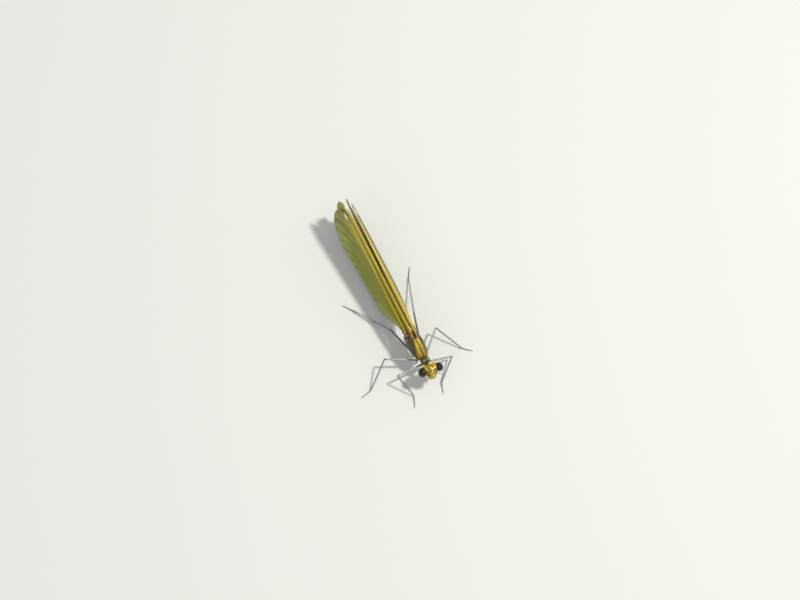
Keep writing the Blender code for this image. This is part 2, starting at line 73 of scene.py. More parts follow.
# The studio. A wide pale sheet of matt board under the insect, a small bright lamp high on
# the insect's left where the sun stood, a broad weak one on its right, and a pale room.
FLOOR_HALF = 3.0
KEY_FROM = Vector((0.12, 0.478, 1.0)).normalized()
LAMPS = (
    ("key_lamp", KEY_FROM, 0.75, 0.08, 4.0, (1.0, 0.96, 0.88)),
    ("fill_lamp", Vector((0.5, -1.0, 0.75)).normalized(), 0.9, 0.6, 0.7, (0.9, 0.95, 1.0)),
)
scene = bpy.context.scene
scene.view_settings.view_transform = "Standard"
board = bpy.data.meshes.new("floor")
corners = [(-1, -1, 0), (1, -1, 0), (1, 1, 0), (-1, 1, 0)]
board.from_pydata([tuple(FLOOR_HALF * c for c in corner) for corner in corners], [], [(0, 1, 2, 3)])
floor = bpy.data.objects.new("floor", board)
scene.collection.objects.link(floor)
floor_paint = bpy.data.materials.new("pale_board")
floor_paint.use_nodes = True
floor_shader = floor_paint.node_tree.nodes["Principled BSDF"]
floor_shader.inputs["Base Color"].default_value = (0.74, 0.75, 0.72, 1.0)
floor_shader.inputs["Roughness"].default_value = 0.9
board.materials.append(floor_paint)
for name, direction, distance, size, power, colour in LAMPS:
    lamp_data = bpy.data.lights.new(name, "AREA")
    lamp_data.shape = "DISK"
    lamp_data.size = size
    lamp_data.energy = power
    lamp_data.color = colour
    lamp = bpy.data.objects.new(name, lamp_data)
    scene.collection.objects.link(lamp)
    lamp.location = Vector(THORAX_AT) * MM + direction * distance
    lamp.rotation_euler = direction.to_track_quat("Z", "Y").to_euler()
room = bpy.data.worlds.new("room")
room.use_nodes = True
room.node_tree.nodes["Background"].inputs["Color"].default_value = (0.9, 0.93, 0.95, 1.0)
room.node_tree.nodes["Background"].inputs["Strength"].default_value = 0.55
scene.world = room

# The head capsule. A hard shell, wide and short like a dumb-bell, of metallic green-bronze
# chitin washed with gold: crown, brow, the round nasal shield, cheeks and jaw bases in one.
HEAD_AT = THORAX_AT + np.array([5.35, 0.0, 6.35])
HEAD_TURN = math.radians(-6.0)
HEAD_CORE = (1.35, 0.0, -0.12)
EYE_AT = (1.45, 2.05, 0.15)
EYE_RADII = (1.05, 0.95, 1.2)
EYE_SINK = math.radians(14.0)
HEAD_FORMS = (
    ((1.2, 0.0, 0.1), (1.12, 2.1, 1.08), 0.3),
    ((1.5, 0.0, 0.78), (0.72, 0.82, 0.36), 0.12),
    ((0.55, 1.15, 0.05), (0.55, 0.75, 0.85), 0.2),
    ((0.55, -1.15, 0.05), (0.55, 0.75, 0.85), 0.2),
    ((2.12, 0.0, 0.2), (0.68, 1.16, 0.72), 0.09),
    ((1.1, 0.0, -0.5), (0.95, 1.15, 0.75), 0.2),
    ((1.9, 0.95, -0.62), (0.72, 0.4, 0.62), 0.1),
    ((1.9, -0.95, -0.62), (0.72, 0.4, 0.62), 0.1),
    ((2.66, 0.0, -0.36), (0.6, 0.96, 0.42), 0.06),
    ((2.62, 0.0, -0.86), (0.5, 0.72, 0.2), 0.05),
    ((2.3, 0.74, -1.08), (0.46, 0.26, 0.34), 0.05),
    ((2.3, -0.74, -1.08), (0.46, 0.26, 0.34), 0.05),
)
ANTENNA_ROOT = (2.52, 0.9, 0.55)
OCELLI = (((1.86, 0.0, 0.98), 0.17), ((1.42, 0.4, 1.13), 0.17), ((1.42, -0.4, 1.13), 0.17))
HEAD_GRID = (210, 264)


def on_head(points):
    """Head places to model places: turned about the upright axis, then set on the neck."""
    c, s = math.cos(HEAD_TURN), math.sin(HEAD_TURN)
    spun = np.stack([c * points[..., 0] - s * points[..., 1], s * points[..., 0] + c * points[..., 1]], -1)
    return np.concatenate([spun, points[..., 2:]], -1) + HEAD_AT


def egg_distance(points, centre, radii):
    """About how far points lie outside an egg: k(k-1)/g, with k the scaled radius and g its slope."""
    offset = points - np.asarray(centre)
    scaled = np.linalg.norm(offset / np.asarray(radii), axis=-1)
    slope = np.linalg.norm(offset / np.square(radii), axis=-1)
    return scaled * (scaled - 1) / np.maximum(slope, 1e-9)


def melt(first, second, width):
    """The smaller of two distances, rounded off where they are closer than a width."""
    share = np.clip(0.5 + 0.5 * (second - first) / width, 0, 1)
    return second + (first - second) * share - width * share * (1 - share)


def forms_distance(points, forms):
    """Distance to eggs melted together one after another, each with its own fillet."""
    total = egg_distance(points, *forms[0][:2])
    for centre, radii, width in forms[1:]:
        total = melt(total, egg_distance(points, centre, radii), width)
    return total


def ray_grid(rows, columns):
    """Directions over a sphere with its poles to left and right: rows of latitude, columns round."""
    tilt = np.linspace(0, math.pi, rows + 1)[1:-1, None]
    swing = np.linspace(0, 2 * math.pi, columns, endpoint=False)[None, :]
    level = np.sin(tilt)
    rays = np.stack([level * np.cos(swing), np.cos(tilt) + 0 * swing, level * np.sin(swing)], -1)
    return rays, np.array([[0.0, 1.0, 0.0], [0.0, -1.0, 0.0]])


def shell_of(forms, core, rows, columns, reach=4.0):
    """Where rays from a core leave melted eggs: each ray steps inwards by the distance left."""
    grid, poles = ray_grid(rows, columns)
    rays = np.vstack([grid.reshape(-1, 3), poles])
    out = np.full(len(rays), reach)
    for _ in range(70):
        out -= 0.85 * forms_distance(np.asarray(core) + rays * out[:, None], forms)
    return np.asarray(core) + rays * out[:, None], rays


def shell_faces(rows, columns):
    """Quads between the rows of a closed shell, and fans of triangles round its two poles."""
    row = np.arange(rows - 1)[:, None] * columns
    here = np.arange(columns)[None, :]
    after = (here + 1) % columns
    quads = np.stack([row + here, row + after, row + columns + after, row + columns + here], -1)
    here, after = here[0], after[0]
    top = np.full(columns, rows * columns)
    last = (rows - 1) * columns
    fans = np.vstack([np.stack([top, after, here], -1), np.stack([top + 1, last + here, last + after], -1)])
    return quads.reshape(-1, 4), fans


def make_piece(name, points, quads, fans, material, slot, nodes=(), **marks):
    """Put points in millimetres and their faces into a smooth mesh that rides on the body.

    Marks are numbers kept at each point, which the piece's material reads by name.
    """
    mesh = bpy.data.meshes.new(name)
    mesh.vertices.add(len(points))
    mesh.vertices.foreach_set("co", (np.asarray(points) * MM).astype(np.float32).ravel())
    corners = np.concatenate([quads.ravel(), fans.ravel()]).astype(np.int32)
    starts = np.concatenate([np.arange(len(quads)) * 4, 4 * len(quads) + np.arange(len(fans)) * 3])
    mesh.loops.add(len(corners))
    mesh.loops.foreach_set("vertex_index", corners)
    mesh.polygons.add(len(starts))
    mesh.polygons.foreach_set("loop_start", starts.astype(np.int32))
    mesh.update(calc_edges=True)
    mesh.validate()
    mesh.shade_smooth()
    for mark, values in marks.items():
        attribute = mesh.attributes.new(mark, "FLOAT", "POINT")
        attribute.data.foreach_set("value", np.asarray(values, np.float32).ravel())
    mesh.materials.append(material)
    piece = bpy.data.objects.new(name, mesh)
    scene.collection.objects.link(piece)
    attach(piece, "root")
    if nodes:
        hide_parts(*nodes)
    return piece




def lay_node(tree, kind, values=(), **settings):
    """A shader node with its settings; each value is set on, or wired to, the input of its rank."""
    node = tree.nodes.new("ShaderNode" + kind)
    for key, value in settings.items():
        setattr(node, key, value)
    for rank, value in enumerate(values):
        if isinstance(value, bpy.types.NodeSocket):
            tree.links.new(value, node.inputs[rank])
        elif value is not None:
            node.inputs[rank].default_value = value
    return node


def reckon(tree, operation, *values):
    """The outcome of a sum on sockets or numbers."""
    return lay_node(tree, "Math", values, operation=operation).outputs[0]


def blend_colours(tree, share, under, over):
    """One colour laid over another by a share."""
    node = lay_node(tree, "Mix", (share,), data_type="RGBA")
    for rank, colour in ((6, under), (7, over)):
        if isinstance(colour, bpy.types.NodeSocket):
            tree.links.new(colour, node.inputs[rank])
        else:
            node.inputs[rank].default_value = (*colour, 1.0)
    return node.outputs[2]


def new_group(name, inputs, outputs):
    """An empty shader group with named inputs, each with its first value, and named outputs."""
    group = bpy.data.node_groups.new(name, "ShaderNodeTree")
    for label, value in inputs:
        kind = "NodeSocketFloat" if isinstance(value, float) else "NodeSocketColor"
        socket = group.interface.new_socket(name=label, in_out="INPUT", socket_type=kind)
        socket.default_value = value if isinstance(value, float) else (*value, 1.0)
    for label, kind in outputs:
        group.interface.new_socket(name=label, in_out="OUTPUT", socket_type=kind)
    return group, group.nodes.new("NodeGroupInput").outputs, group.nodes.new("NodeGroupOutput").inputs


def chitin_group():
    """The grain of hard chitin: cloudy blotches, fine flecks, uneven polish and close shallow pits."""
    group, given, made = new_group(
        "chitin_grain",
        (("Colour", (0.5, 0.4, 0.1)), ("Blotch", (0.1, 0.1, 0.02)), ("Blotch Share", 0.5),
         ("Grain", 2500.0), ("Polish", 0.3)),
        (("Colour", "NodeSocketColor"), ("Roughness", "NodeSocketFloat"), ("Height", "NodeSocketFloat")),
    )
    place = group.nodes.new("ShaderNodeTexCoord").outputs["Object"]
    cloud = lay_node(group, "TexNoise", (place, None, given["Grain"], 4.0, 0.55)).outputs["Fac"]
    cloud = lay_node(group, "MapRange", (cloud, 0.46, 0.6, 0.0, 1.0), interpolation_type="SMOOTHSTEP")
    share = reckon(group, "MULTIPLY", cloud.outputs[0], given["Blotch Share"])
    colour = blend_colours(group, share, given["Colour"], given["Blotch"])
    fine = reckon(group, "MULTIPLY", given["Grain"], 8.0)
    fleck = lay_node(group, "TexNoise", (place, None, fine, 2.0, 0.5)).outputs["Fac"]
    shade = lay_node(group, "MapRange", (fleck, 0.3, 0.7, 0.72, 1.12)).outputs[0]
    whole = lay_node(group, "VectorMath", (colour, None), operation="SCALE")
    group.links.new(shade, whole.inputs["Scale"])
    group.links.new(whole.outputs[0], made["Colour"])
    uneven = reckon(group, "MULTIPLY_ADD", fleck, 0.3, given["Polish"])
    group.links.new(reckon(group, "SUBTRACT", uneven, 0.13), made["Roughness"])
    pits = lay_node(group, "TexVoronoi", (place, None, reckon(group, "MULTIPLY", given["Grain"], 9.0)))
    deep = reckon(group, "MULTIPLY_ADD", pits.outputs["Distance"], 0.6, fleck)
    group.links.new(deep, made["Height"])
    return group


CHITIN_GRAIN = chitin_group()


def chitin_paint(name, base, layers, blotch, share, polish, metallic, grain=2500.0, pit=0.006, coat=0.0):
    """Chitin of a base colour under layers, each a mark's name and its colour, then the grain."""
    paint = bpy.data.materials.new(name)
    paint.use_nodes = True
    tree = paint.node_tree
    shader = tree.nodes["Principled BSDF"]
    colour = base
    for mark, over in layers:
        share_of_mark = lay_node(tree, "Attribute", attribute_name=mark).outputs["Fac"]
        colour = blend_colours(tree, share_of_mark, colour, over)
    grained = tree.nodes.new("ShaderNodeGroup")
    grained.node_tree = CHITIN_GRAIN
    if isinstance(colour, bpy.types.NodeSocket):
        tree.links.new(colour, grained.inputs["Colour"])
    else:
        grained.inputs["Colour"].default_value = (*colour, 1.0)
    grained.inputs["Blotch"].default_value = (*blotch, 1.0)
    grained.inputs["Blotch Share"].default_value = share
    grained.inputs["Grain"].default_value = grain
    grained.inputs["Polish"].default_value = polish
    tree.links.new(grained.outputs["Colour"], shader.inputs["Base Color"])
    tree.links.new(grained.outputs["Roughness"], shader.inputs["Roughness"])
    bump = lay_node(tree, "Bump")
    bump.inputs["Distance"].default_value = pit * MM
    tree.links.new(grained.outputs["Height"], bump.inputs["Height"])
    tree.links.new(bump.outputs["Normal"], shader.inputs["Normal"])
    shader.inputs["Metallic"].default_value = metallic
    shader.inputs["Coat Weight"].default_value = coat
    shader.inputs["Coat Roughness"].default_value = 0.12
    return paint


def eye_space(points, side):
    """Head places seen from the middle of one eye, with the eye's lean taken out."""
    offset = points - np.array([EYE_AT[0], side * EYE_AT[1], EYE_AT[2]])
    c, s = math.cos(-EYE_SINK * side), math.sin(-EYE_SINK * side)
    level = c * offset[..., 1] - s * offset[..., 2]
    return np.stack([offset[..., 0], level, s * offset[..., 1] + c * offset[..., 2]], -1)


def bell(distance, width):
    """A soft bump: the exponential of minus the squared ratio of a distance to a width."""
    return np.exp(-np.square(distance / width))


def ease(value, start, end):
    """0 before the start, 1 past the end, and a smooth cubic between."""
    share = np.clip((value - start) / (end - start), 0, 1)
    return share * share * (3 - 2 * share)


HEAD_SPOTS = (((1.62, 0.0, 1.1), 0.17, 0.9), ((1.14, 0.62, 1.08), 0.24, 0.8), ((0.72, 0.2, 1.02), 0.22, 0.75),
              ((2.12, 0.52, 0.86), 0.2, 0.85), ((2.4, 0.0, 0.7), 0.16, 0.8), ((1.78, 0.98, 0.86), 0.17, 0.8),
              ((2.86, 0.42, 0.2), 0.16, 0.7), ((3.0, 0.0, -0.25), 0.13, 0.7), ((2.7, 0.85, -0.3), 0.16, 0.7))


def head_relief(points):
    """Height and darkness of the seams where forms meet, the eye rims, feeler rings and nape line."""
    x, y, z = points.T
    gaps = [np.abs(egg_distance(points, *form[:2])) for form in HEAD_FORMS]
    height = np.zeros(len(points))
    dark = np.zeros(len(points))
    for first, second, width in HEAD_SEAMS:
        seam = bell(gaps[first] + gaps[second], width)
        height -= 0.03 * seam
        dark = np.maximum(dark, seam)
    for side in (1.0, -1.0):
        rim = egg_distance(eye_space(points, side), (0, 0, 0), EYE_RADII)
        height += 0.05 * bell(rim - 0.06, 0.05)
        dark = np.maximum(dark, bell(rim, 0.07))
        ring = np.linalg.norm(points - np.array(ANTENNA_ROOT) * (1, side, 1), axis=1)
        height += 0.04 * bell(ring - 0.2, 0.05) - 0.04 * bell(ring, 0.12)
        dark = np.maximum(dark, bell(ring - 0.2, 0.08))
    for place, radius in OCELLI:
        near_ocellus = np.linalg.norm(points - np.array(place), axis=1) - radius
        dark = np.maximum(dark, 0.9 * bell(near_ocellus - 0.02, 0.07))
    mottle = 0.5 + 0.5 * np.sin(7.0 * x + 3.0 * np.sin(6.0 * y)) * np.sin(8.0 * y * y + 5.0 * z + 2.0 * x)
    for place, size, strength in HEAD_SPOTS:
        for side in (1.0, -1.0):
            near = np.linalg.norm(points - np.array(place) * (1, side, 1), axis=1)
            dark = np.maximum(dark, strength * ease(1.15 - near / size + 0.5 * (mottle - 0.5), 0.0, 0.35))
    nape = bell(x - 0.66 - 0.12 * np.cos(1.6 * y), 0.05) * (z > 0.2)
    brow_line = bell(x - 2.02 + 0.1 * y * y, 0.05) * (z > 0.4) * (np.abs(y) < 1.0)
    middle = bell(y, 0.03) * bell(x - 0.85, 0.25) * (z > 0.4)
    height -= 0.03 * (nape + brow_line + middle)
    return height, np.clip(np.maximum(dark, 0.85 * np.maximum(nape, brow_line)) + 0.5 * middle, 0, 1)


HEAD_SEAMS = ((4, 8, 0.07), (8, 9, 0.07), (4, 6, 0.08), (4, 7, 0.08), (0, 6, 0.09), (0, 7, 0.09),
              (6, 10, 0.07), (7, 11, 0.07), (0, 4, 0.06), (0, 1, 0.05))
rows, columns = HEAD_GRID
head_points, head_rays = shell_of(HEAD_FORMS, HEAD_CORE, rows, columns)
head_height, head_dark = head_relief(head_points)
head_points = head_points + head_rays * head_height[:, None]
head_low = np.clip((-0.2 - head_points[:, 2]) / 0.8, 0, 1) * np.clip((2.4 - head_points[:, 0]) / 0.6, 0, 1)
head_yellow = np.maximum(
    bell(egg_distance(head_points, *HEAD_FORMS[10][:2]), 0.12),
    bell(egg_distance(head_points, *HEAD_FORMS[11][:2]), 0.12),
)
head_orange = 0.6 * bell(np.linalg.norm(head_points - (1.55, 0.0, 1.0), axis=1), 0.62)
head_paint = chitin_paint(
    "head_gold",
    (0.85, 0.6, 0.03),
    (("orange", (0.8, 0.34, 0.03)), ("low", (0.16, 0.13, 0.04)), ("yellow", (0.8, 0.62, 0.1)),
     ("dark", (0.03, 0.02, 0.01))),
    (0.16, 0.08, 0.01),
    0.72,
    0.3,
    0.45,
    grain=3200.0,
    coat=0.35,
)
quads, fans = shell_faces(rows - 1, columns)
make_piece("head_shell", on_head(head_points), quads, fans, head_paint, "head_gold", ("head",),
           dark=head_dark, low=head_low, yellow=head_yellow, orange=head_orange)

# Three simple eyes. Glassy amber beads that sit in the crown like drops between the big eyes.
OCELLUS_GRID = (14, 20)


def gather(parts):
    """Several sets of points, quads and fans as one, with the faces counted on."""
    points, quads, fans = [], [], []
    count = 0
    for some_points, some_quads, some_fans in parts:
        points.append(some_points)
        quads.append(some_quads + count)
        fans.append(some_fans + count)
        count += len(some_points)
    return np.vstack(points), np.vstack(quads), np.vstack(fans)


def egg(centre, radii, rows, columns):
    """A closed egg: the sphere of directions scaled by three radii and moved to its centre."""
    grid, poles = ray_grid(rows, columns)
    rays = np.vstack([grid.reshape(-1, 3), poles])
    return (np.asarray(centre) + rays * np.asarray(radii), *shell_faces(rows - 1, columns))


def gloss_paint(name, colour, roughness, coat=1.0):
    """A smooth glassy finish whose colour is broken up a little by noise."""
    paint = bpy.data.materials.new(name)
    paint.use_nodes = True
    tree = paint.node_tree
    shader = tree.nodes["Principled BSDF"]
    place = tree.nodes.new("ShaderNodeTexCoord").outputs["Object"]
    cloud = lay_node(tree, "TexNoise", (place, None, 6000.0, 3.0, 0.5)).outputs["Fac"]
    darker = tuple(0.45 * part for part in colour)
    tree.links.new(blend_colours(tree, cloud, darker, colour), shader.inputs["Base Color"])
    shader.inputs["Roughness"].default_value = roughness
    shader.inputs["Coat Weight"].default_value = coat
    shader.inputs["Coat Roughness"].default_value = 0.05
    return paint


beads = gather([egg(place, (radius,) * 3, *OCELLUS_GRID) for place, radius in OCELLI])
make_piece("ocelli", on_head(beads[0]), *beads[1:], gloss_paint("ocellus_amber", (0.5, 0.26, 0.05), 0.15),
    "head_gold")

# The compound eyes. Two near half-globes of thousands of six-sided lenses, almost black above
# and dark olive below, set wide apart in cups at the ends of the head.
EYE_GRID = (96, 150)
FACET_SIZE = 0.045


def eye_paint():
    """Dark lens colour above, olive below and behind, under a coat that the facets just dimple."""
    paint = bpy.data.materials.new("eye_brown")
    paint.use_nodes = True
    tree = paint.node_tree
    shader = tree.nodes["Principled BSDF"]
    place = tree.nodes.new("ShaderNodeTexCoord").outputs["Object"]
    low = lay_node(tree, "Attribute", attribute_name="low").outputs["Fac"]
    cloud = lay_node(tree, "TexNoise", (place, None, 1500.0, 3.0, 0.5)).outputs["Fac"]
    colour = blend_colours(tree, low, (0.014, 0.01, 0.004), (0.09, 0.09, 0.022))
    colour = blend_colours(tree, reckon(tree, "MULTIPLY", cloud, 0.3), colour, (0.05, 0.04, 0.01))
    facets = lay_node(tree, "TexVoronoi", (place, None, 1.0 / (FACET_SIZE * MM)))
    edge = lay_node(tree, "MapRange", (facets.outputs["Distance"], 0.35, 0.62, 0.0, 0.55)).outputs[0]
    colour = blend_colours(tree, edge, colour, (0.004, 0.004, 0.003))
    tree.links.new(colour, shader.inputs["Base Color"])
    bump = lay_node(tree, "Bump")
    bump.invert = True
    bump.inputs["Distance"].default_value = 0.004 * MM
    tree.links.new(facets.outputs["Distance"], bump.inputs["Height"])
    tree.links.new(bump.outputs["Normal"], shader.inputs["Normal"])
    shader.inputs["Roughness"].default_value = 0.2
    shader.inputs["Specular IOR Level"].default_value = 0.15
    shader.inputs["Coat Weight"].default_value = 0.5
    shader.inputs["Coat Roughness"].default_value = 0.06
    return paint


lens_paint = eye_paint()
for name, side in (("left", 1.0), ("right", -1.0)):
    points, quads, fans = egg((0, 0, 0), EYE_RADII, *EYE_GRID)
    low = np.clip(0.45 - points[:, 2] / 1.1 - 0.12 * points[:, 0], 0, 1)
    c, s = math.cos(EYE_SINK * side), math.sin(EYE_SINK * side)
    x, y, z = points.T
    leaned = np.column_stack([x, c * y - s * z, s * y + c * z]) + (EYE_AT[0], side * EYE_AT[1], EYE_AT[2])
    make_piece(f"compound_eye_{name}", on_head(leaned), quads, fans, lens_paint, "eye_brown",
               (f"eye_{name}",), low=low)

# The feelers. A short stout base, a longer second joint and a whip of fine rings as thin as a
# hair, black, each standing in a ring on the brow.
FEELER_BENDS = ((0.0, 0.0, 0.0), (0.12, 0.05, 0.16), (0.32, 0.16, 0.32), (0.62, 0.36, 0.5),
                (1.05, 0.7, 0.76), (1.6, 1.14, 1.0), (2.3, 1.72, 1.16))
FEELER_SHARES = (0.0, 0.06, 0.085, 0.1, 0.115, 0.3, 0.33, 0.345, 0.36, 0.56, 0.575, 0.59, 0.78, 0.795, 0.81,
    1.0)
FEELER_RADII = (0.13, 0.12, 0.125, 0.075, 0.085, 0.075, 0.08, 0.04, 0.045, 0.036, 0.042, 0.034, 0.028, 0.034,
                0.024, 0.008)


def smooth_line(places, count):
    """Points spread evenly by length along a smooth line through places (Catmull-Rom cubics)."""
    knots = np.asarray(places, float)
    ends = np.vstack([2 * knots[0] - knots[1], knots, 2 * knots[-1] - knots[-2]])
    t = np.linspace(0, len(knots) - 1, 40 * len(knots))
    row = np.minimum(t.astype(int), len(knots) - 2)
    u = (t - row)[:, None]
    a, b, c, d = (ends[row + step] for step in range(4))
    line = 0.5 * (2 * b + (c - a) * u + (2 * a - 5 * b + 4 * c - d) * u**2 + (3 * b - a - 3 * c + d) * u**3)
    run = np.concatenate([[0], np.cumsum(np.linalg.norm(np.diff(line, axis=0), axis=1))])
    wanted = np.linspace(0, run[-1], count)
    return np.column_stack([np.interp(wanted, run, line[:, axis]) for axis in range(3)])


def strands(paths, radii, sides, guide):
    """Tapered tubes along many paths of equal counts, closed at both ends.

    A ring round each path point lies in the plane across the path: level is path times guide,
    and upright is level times path. Point = middle + radius (cos level + sin upright).
    """
    paths = np.asarray(paths, float)
    radii = np.broadcast_to(radii, paths.shape[:2])
    along = np.gradient(paths, axis=1)
    along /= np.linalg.norm(along, axis=2, keepdims=True)
    level = np.cross(along, np.broadcast_to(guide, along.shape))
    level /= np.linalg.norm(level, axis=2, keepdims=True)
    upright = np.cross(level, along)
    angle = np.arange(sides) * (2 * math.pi / sides)
    spread = np.cos(angle)[:, None] * level[:, :, None, :] + np.sin(angle)[:, None] * upright[:, :, None, :]
    points = paths[:, :, None, :] + radii[:, :, None, None] * spread
    count, stations = paths.shape[:2]
    base = (np.arange(count) * stations * sides)[:, None, None]
    row = (np.arange(stations - 1) * sides)[None, :, None]
    here = np.arange(sides)[None, None, :]
    after = (here + 1) % sides
    low = base + row
    quads = np.stack([low + here, low + sides + here, low + sides + after, low + after], -1).reshape(-1, 4)
    fan = np.arange(1, sides - 1)[None, :]
    first = base[:, 0, :]
    last = first + (stations - 1) * sides
    start_caps = np.stack([first + 0 * fan, first + fan, first + fan + 1], -1).reshape(-1, 3)
    end_caps = np.stack([last + 0 * fan, last + fan + 1, last + fan], -1).reshape(-1, 3)
    return points.reshape(-1, 3), quads, np.vstack([start_caps, end_caps])


feeler_paint = chitin_paint("antenna_black", (0.02, 0.018, 0.016), (), (0.06, 0.045, 0.02), 0.3, 0.35, 0.0,
    9000.0)
for name, side in (("left", 1.0), ("right", -1.0)):
    line = smooth_line(np.array(ANTENNA_ROOT) * (1, side, 1) + np.array(FEELER_BENDS) * (1, side, 1), 90)
    radii = np.interp(np.linspace(0, 1, 90), FEELER_SHARES, FEELER_RADII)
    tube = strands(line[None], radii[None], 12, (0.0, side * -0.6, 0.8))
    make_piece(f"feeler_{name}", on_head(tube[0]), *tube[1:], feeler_paint, "antenna_black",
        (f"antenna_{name}",))

# The mouth. A shiny yellow upper lip with a dark root line, brown jaws behind it, and the
# lower lip in lobes, cleft in the middle; each is its own hard plate.
LIP_FORMS = (((2.76, 0.0, -1.16), (0.52, 0.8, 0.3), 0.1), ((2.84, 0.42, -1.2), (0.42, 0.42, 0.26), 0.12),
             ((2.84, -0.42, -1.2), (0.42, 0.42, 0.26), 0.12))
LOWER_FORMS = (((1.85, 0.0, -1.68), (0.84, 0.6, 0.26), 0.1), ((2.42, 0.3, -1.68), (0.44, 0.27, 0.2), 0.04),
               ((2.42, -0.3, -1.68), (0.44, 0.27, 0.2), 0.04), ((2.25, 0.66, -1.52), (0.52, 0.2, 0.26), 0.05),
               ((2.25, -0.66, -1.52), (0.52, 0.2, 0.26), 0.05))
JAWS = (((2.62, 0.36, -1.42), (0.44, 0.36, 0.17)), ((2.62, -0.36, -1.42), (0.44, 0.36, 0.17)))
LIP_GRID = (60, 84)

lip_paint = chitin_paint("mouth_yellow", (0.72, 0.56, 0.12), (("dark", (0.05, 0.03, 0.012)),),
                         (0.3, 0.19, 0.03), 0.35, 0.28, 0.1, 3500.0, 0.004, 0.6)
for name, forms, core, node in (("upper_lip", LIP_FORMS, (2.75, 0.0, -1.17), "labrum"),
                                ("lower_lip", LOWER_FORMS, (2.05, 0.0, -1.66), "labium")):
    points, rays = shell_of(forms, core, *LIP_GRID, reach=1.6)
    x, y, z = points.T
    cleft = bell(y, 0.05) * np.clip((x - core[0]) / 0.3, 0, 1)
    points = points - rays * (0.07 * cleft)[:, None]
    dark = np.clip(np.maximum(0.8 * cleft, bell(z - core[2] - 0.27, 0.06) if node == "labrum" else 0), 0, 1)
    quads, fans = shell_faces(LIP_GRID[0] - 1, LIP_GRID[1])
    make_piece(name, on_head(points), quads, fans, lip_paint, "mouth_yellow", (node,), dark=dark)
jaws = gather([egg(place, radii, 24, 30) for place, radii in JAWS])
make_piece("jaws", on_head(jaws[0]), *jaws[1:], gloss_paint("jaw_brown", (0.14, 0.07, 0.02), 0.25),
    "mouth_yellow")

# The body skin. One unbroken hide of chitin plates and their soft seams from the neck to the
# tail: the small collar of the forebody, the deep slanted chest with its keel and sutures, the
# raised seats of the four wings, and the ten long rings of the tail, each sleeved in the next.
CHEST_LEAN = -0.25
COLLAR_LEAN = -0.15
WAIST = 0.45
BELLY = 2.3
CHEST_KEYS = (
    (5.85, 0.3, 6.56, 5.98, 2.0), (5.5, 0.36, 6.64, 5.93, 2.0), (5.2, 0.46, 6.72, 5.84, 2.0),
    (5.02, 0.66, 6.8, 5.66, 2.1), (4.84, 0.84, 6.93, 5.45, 2.1), (4.6, 0.97, 7.01, 5.2, 2.1),
    (4.35, 1.08, 7.08, 5.02, 2.1), (4.1, 1.1, 7.1, 5.0, 2.1), (3.85, 1.08, 7.1, 5.06, 2.1),
    (3.7, 1.04, 7.06, 5.2, 2.1), (3.6, 0.92, 6.9, 5.4, 2.0), (3.48, 0.98, 6.92, 5.4, 1.9),
    (3.3, 1.2, 7.22, 5.16, 1.8),
    (3.0, 1.4, 7.52, 4.93, 1.7), (2.2, 1.68, 8.02, 4.5, 1.6), (1.0, 1.88, 8.56, 4.2, 1.6),
    (-0.2, 1.91, 8.9, 4.15, 1.7), (-0.75, 1.9, 8.84, 4.2, 1.8), (-1.15, 1.88, 8.42, 4.26, 2.0),
    (-1.6, 1.85, 8.02, 4.34, 2.1), (-2.4, 1.74, 7.45, 4.5, 2.2), (-3.2, 1.42, 6.9, 4.62, 2.2),
    (-3.8, 1.02, 6.42, 4.72, 2.1), (-4.2, 0.82, 6.2, 4.7, 2.0),
)
TAIL_LENGTHS = (1.0, 2.6, 5.2, 5.4, 5.2, 4.8, 3.9, 2.6, 1.8, 1.15)
TAIL_RADII = (0.8, 0.72, 0.6, 0.56, 0.55, 0.56, 0.6, 0.68, 0.7, 0.6)
TAIL_START = -4.25
TAIL_LINE = ((-4.25, -0.25, 5.42), (-14.0, -0.35, 4.6), (-24.0, -0.28, 4.9), (-38.5, -0.1, 6.9))
BODY_SIDES = 112
CHEST_STEP = 0.031
TAIL_STEP = 0.15
RING_STEP = 0.022
WING_SEATS = ((-1.25, 0.44, 9.3, 0.42, 0.36, 0.42), (-2.9, 1.12, 8.1, 0.62, 0.36, 0.72))
SHOULDER_SEAM = ((3.45, 4.0), (3.0, 20.0), (2.0, 38.0), (0.8, 53.0), (-0.3, 63.0), (-1.0, 69.0))
SIDE_SEAM = ((2.0, -40.0), (1.3, -14.0), (0.5, 6.0), (-0.5, 28.0), (-1.5, 48.0))
HIND_SEAM = ((0.9, -46.0), (0.2, -22.0), (-0.9, 2.0), (-1.9, 22.0), (-2.8, 44.0))


def through(keys, at):
    """A smooth line through keys, read at many places: on each stretch a cubic whose end slopes
    are those between the keys beside it."""
    table = np.array(sorted(keys), float)
    place, values = table[:, 0], table[:, 1:]
    slopes = np.gradient(values, place, axis=0)
    row = np.clip(np.searchsorted(place, at) - 1, 0, len(place) - 2)
    span = (place[row + 1] - place[row])[:, None]
    t = np.clip((at - place[row])[:, None] / span, 0, 1)
    start = values[row] * (1 + 2 * t) * (1 - t) ** 2 + slopes[row] * span * t * (1 - t) ** 2
    return start + values[row + 1] * t * t * (3 - 2 * t) + slopes[row + 1] * span * t * t * (t - 1)


tail_joints = TAIL_START - np.cumsum((0.0,) + TAIL_LENGTHS)


def body_stations():
    """Places along the body, close together on the chest and at each tail joint, wide between."""
    fine = np.arange(CHEST_KEYS[0][0], tail_joints[-1], -0.004)
    step = np.where(fine > TAIL_START - 0.3, CHEST_STEP, TAIL_STEP)
    nearest = np.min(np.abs(fine[:, None] - tail_joints[None, :]), axis=1)
    step = np.where((nearest < 0.16) & (fine < TAIL_START + 0.1), RING_STEP, step)
    count = np.cumsum(0.004 / step)
    whole = np.arange(0, int(count[-1]) + 1)
    stations = np.interp(whole, count, fine)
    return np.append(stations, tail_joints[-1])


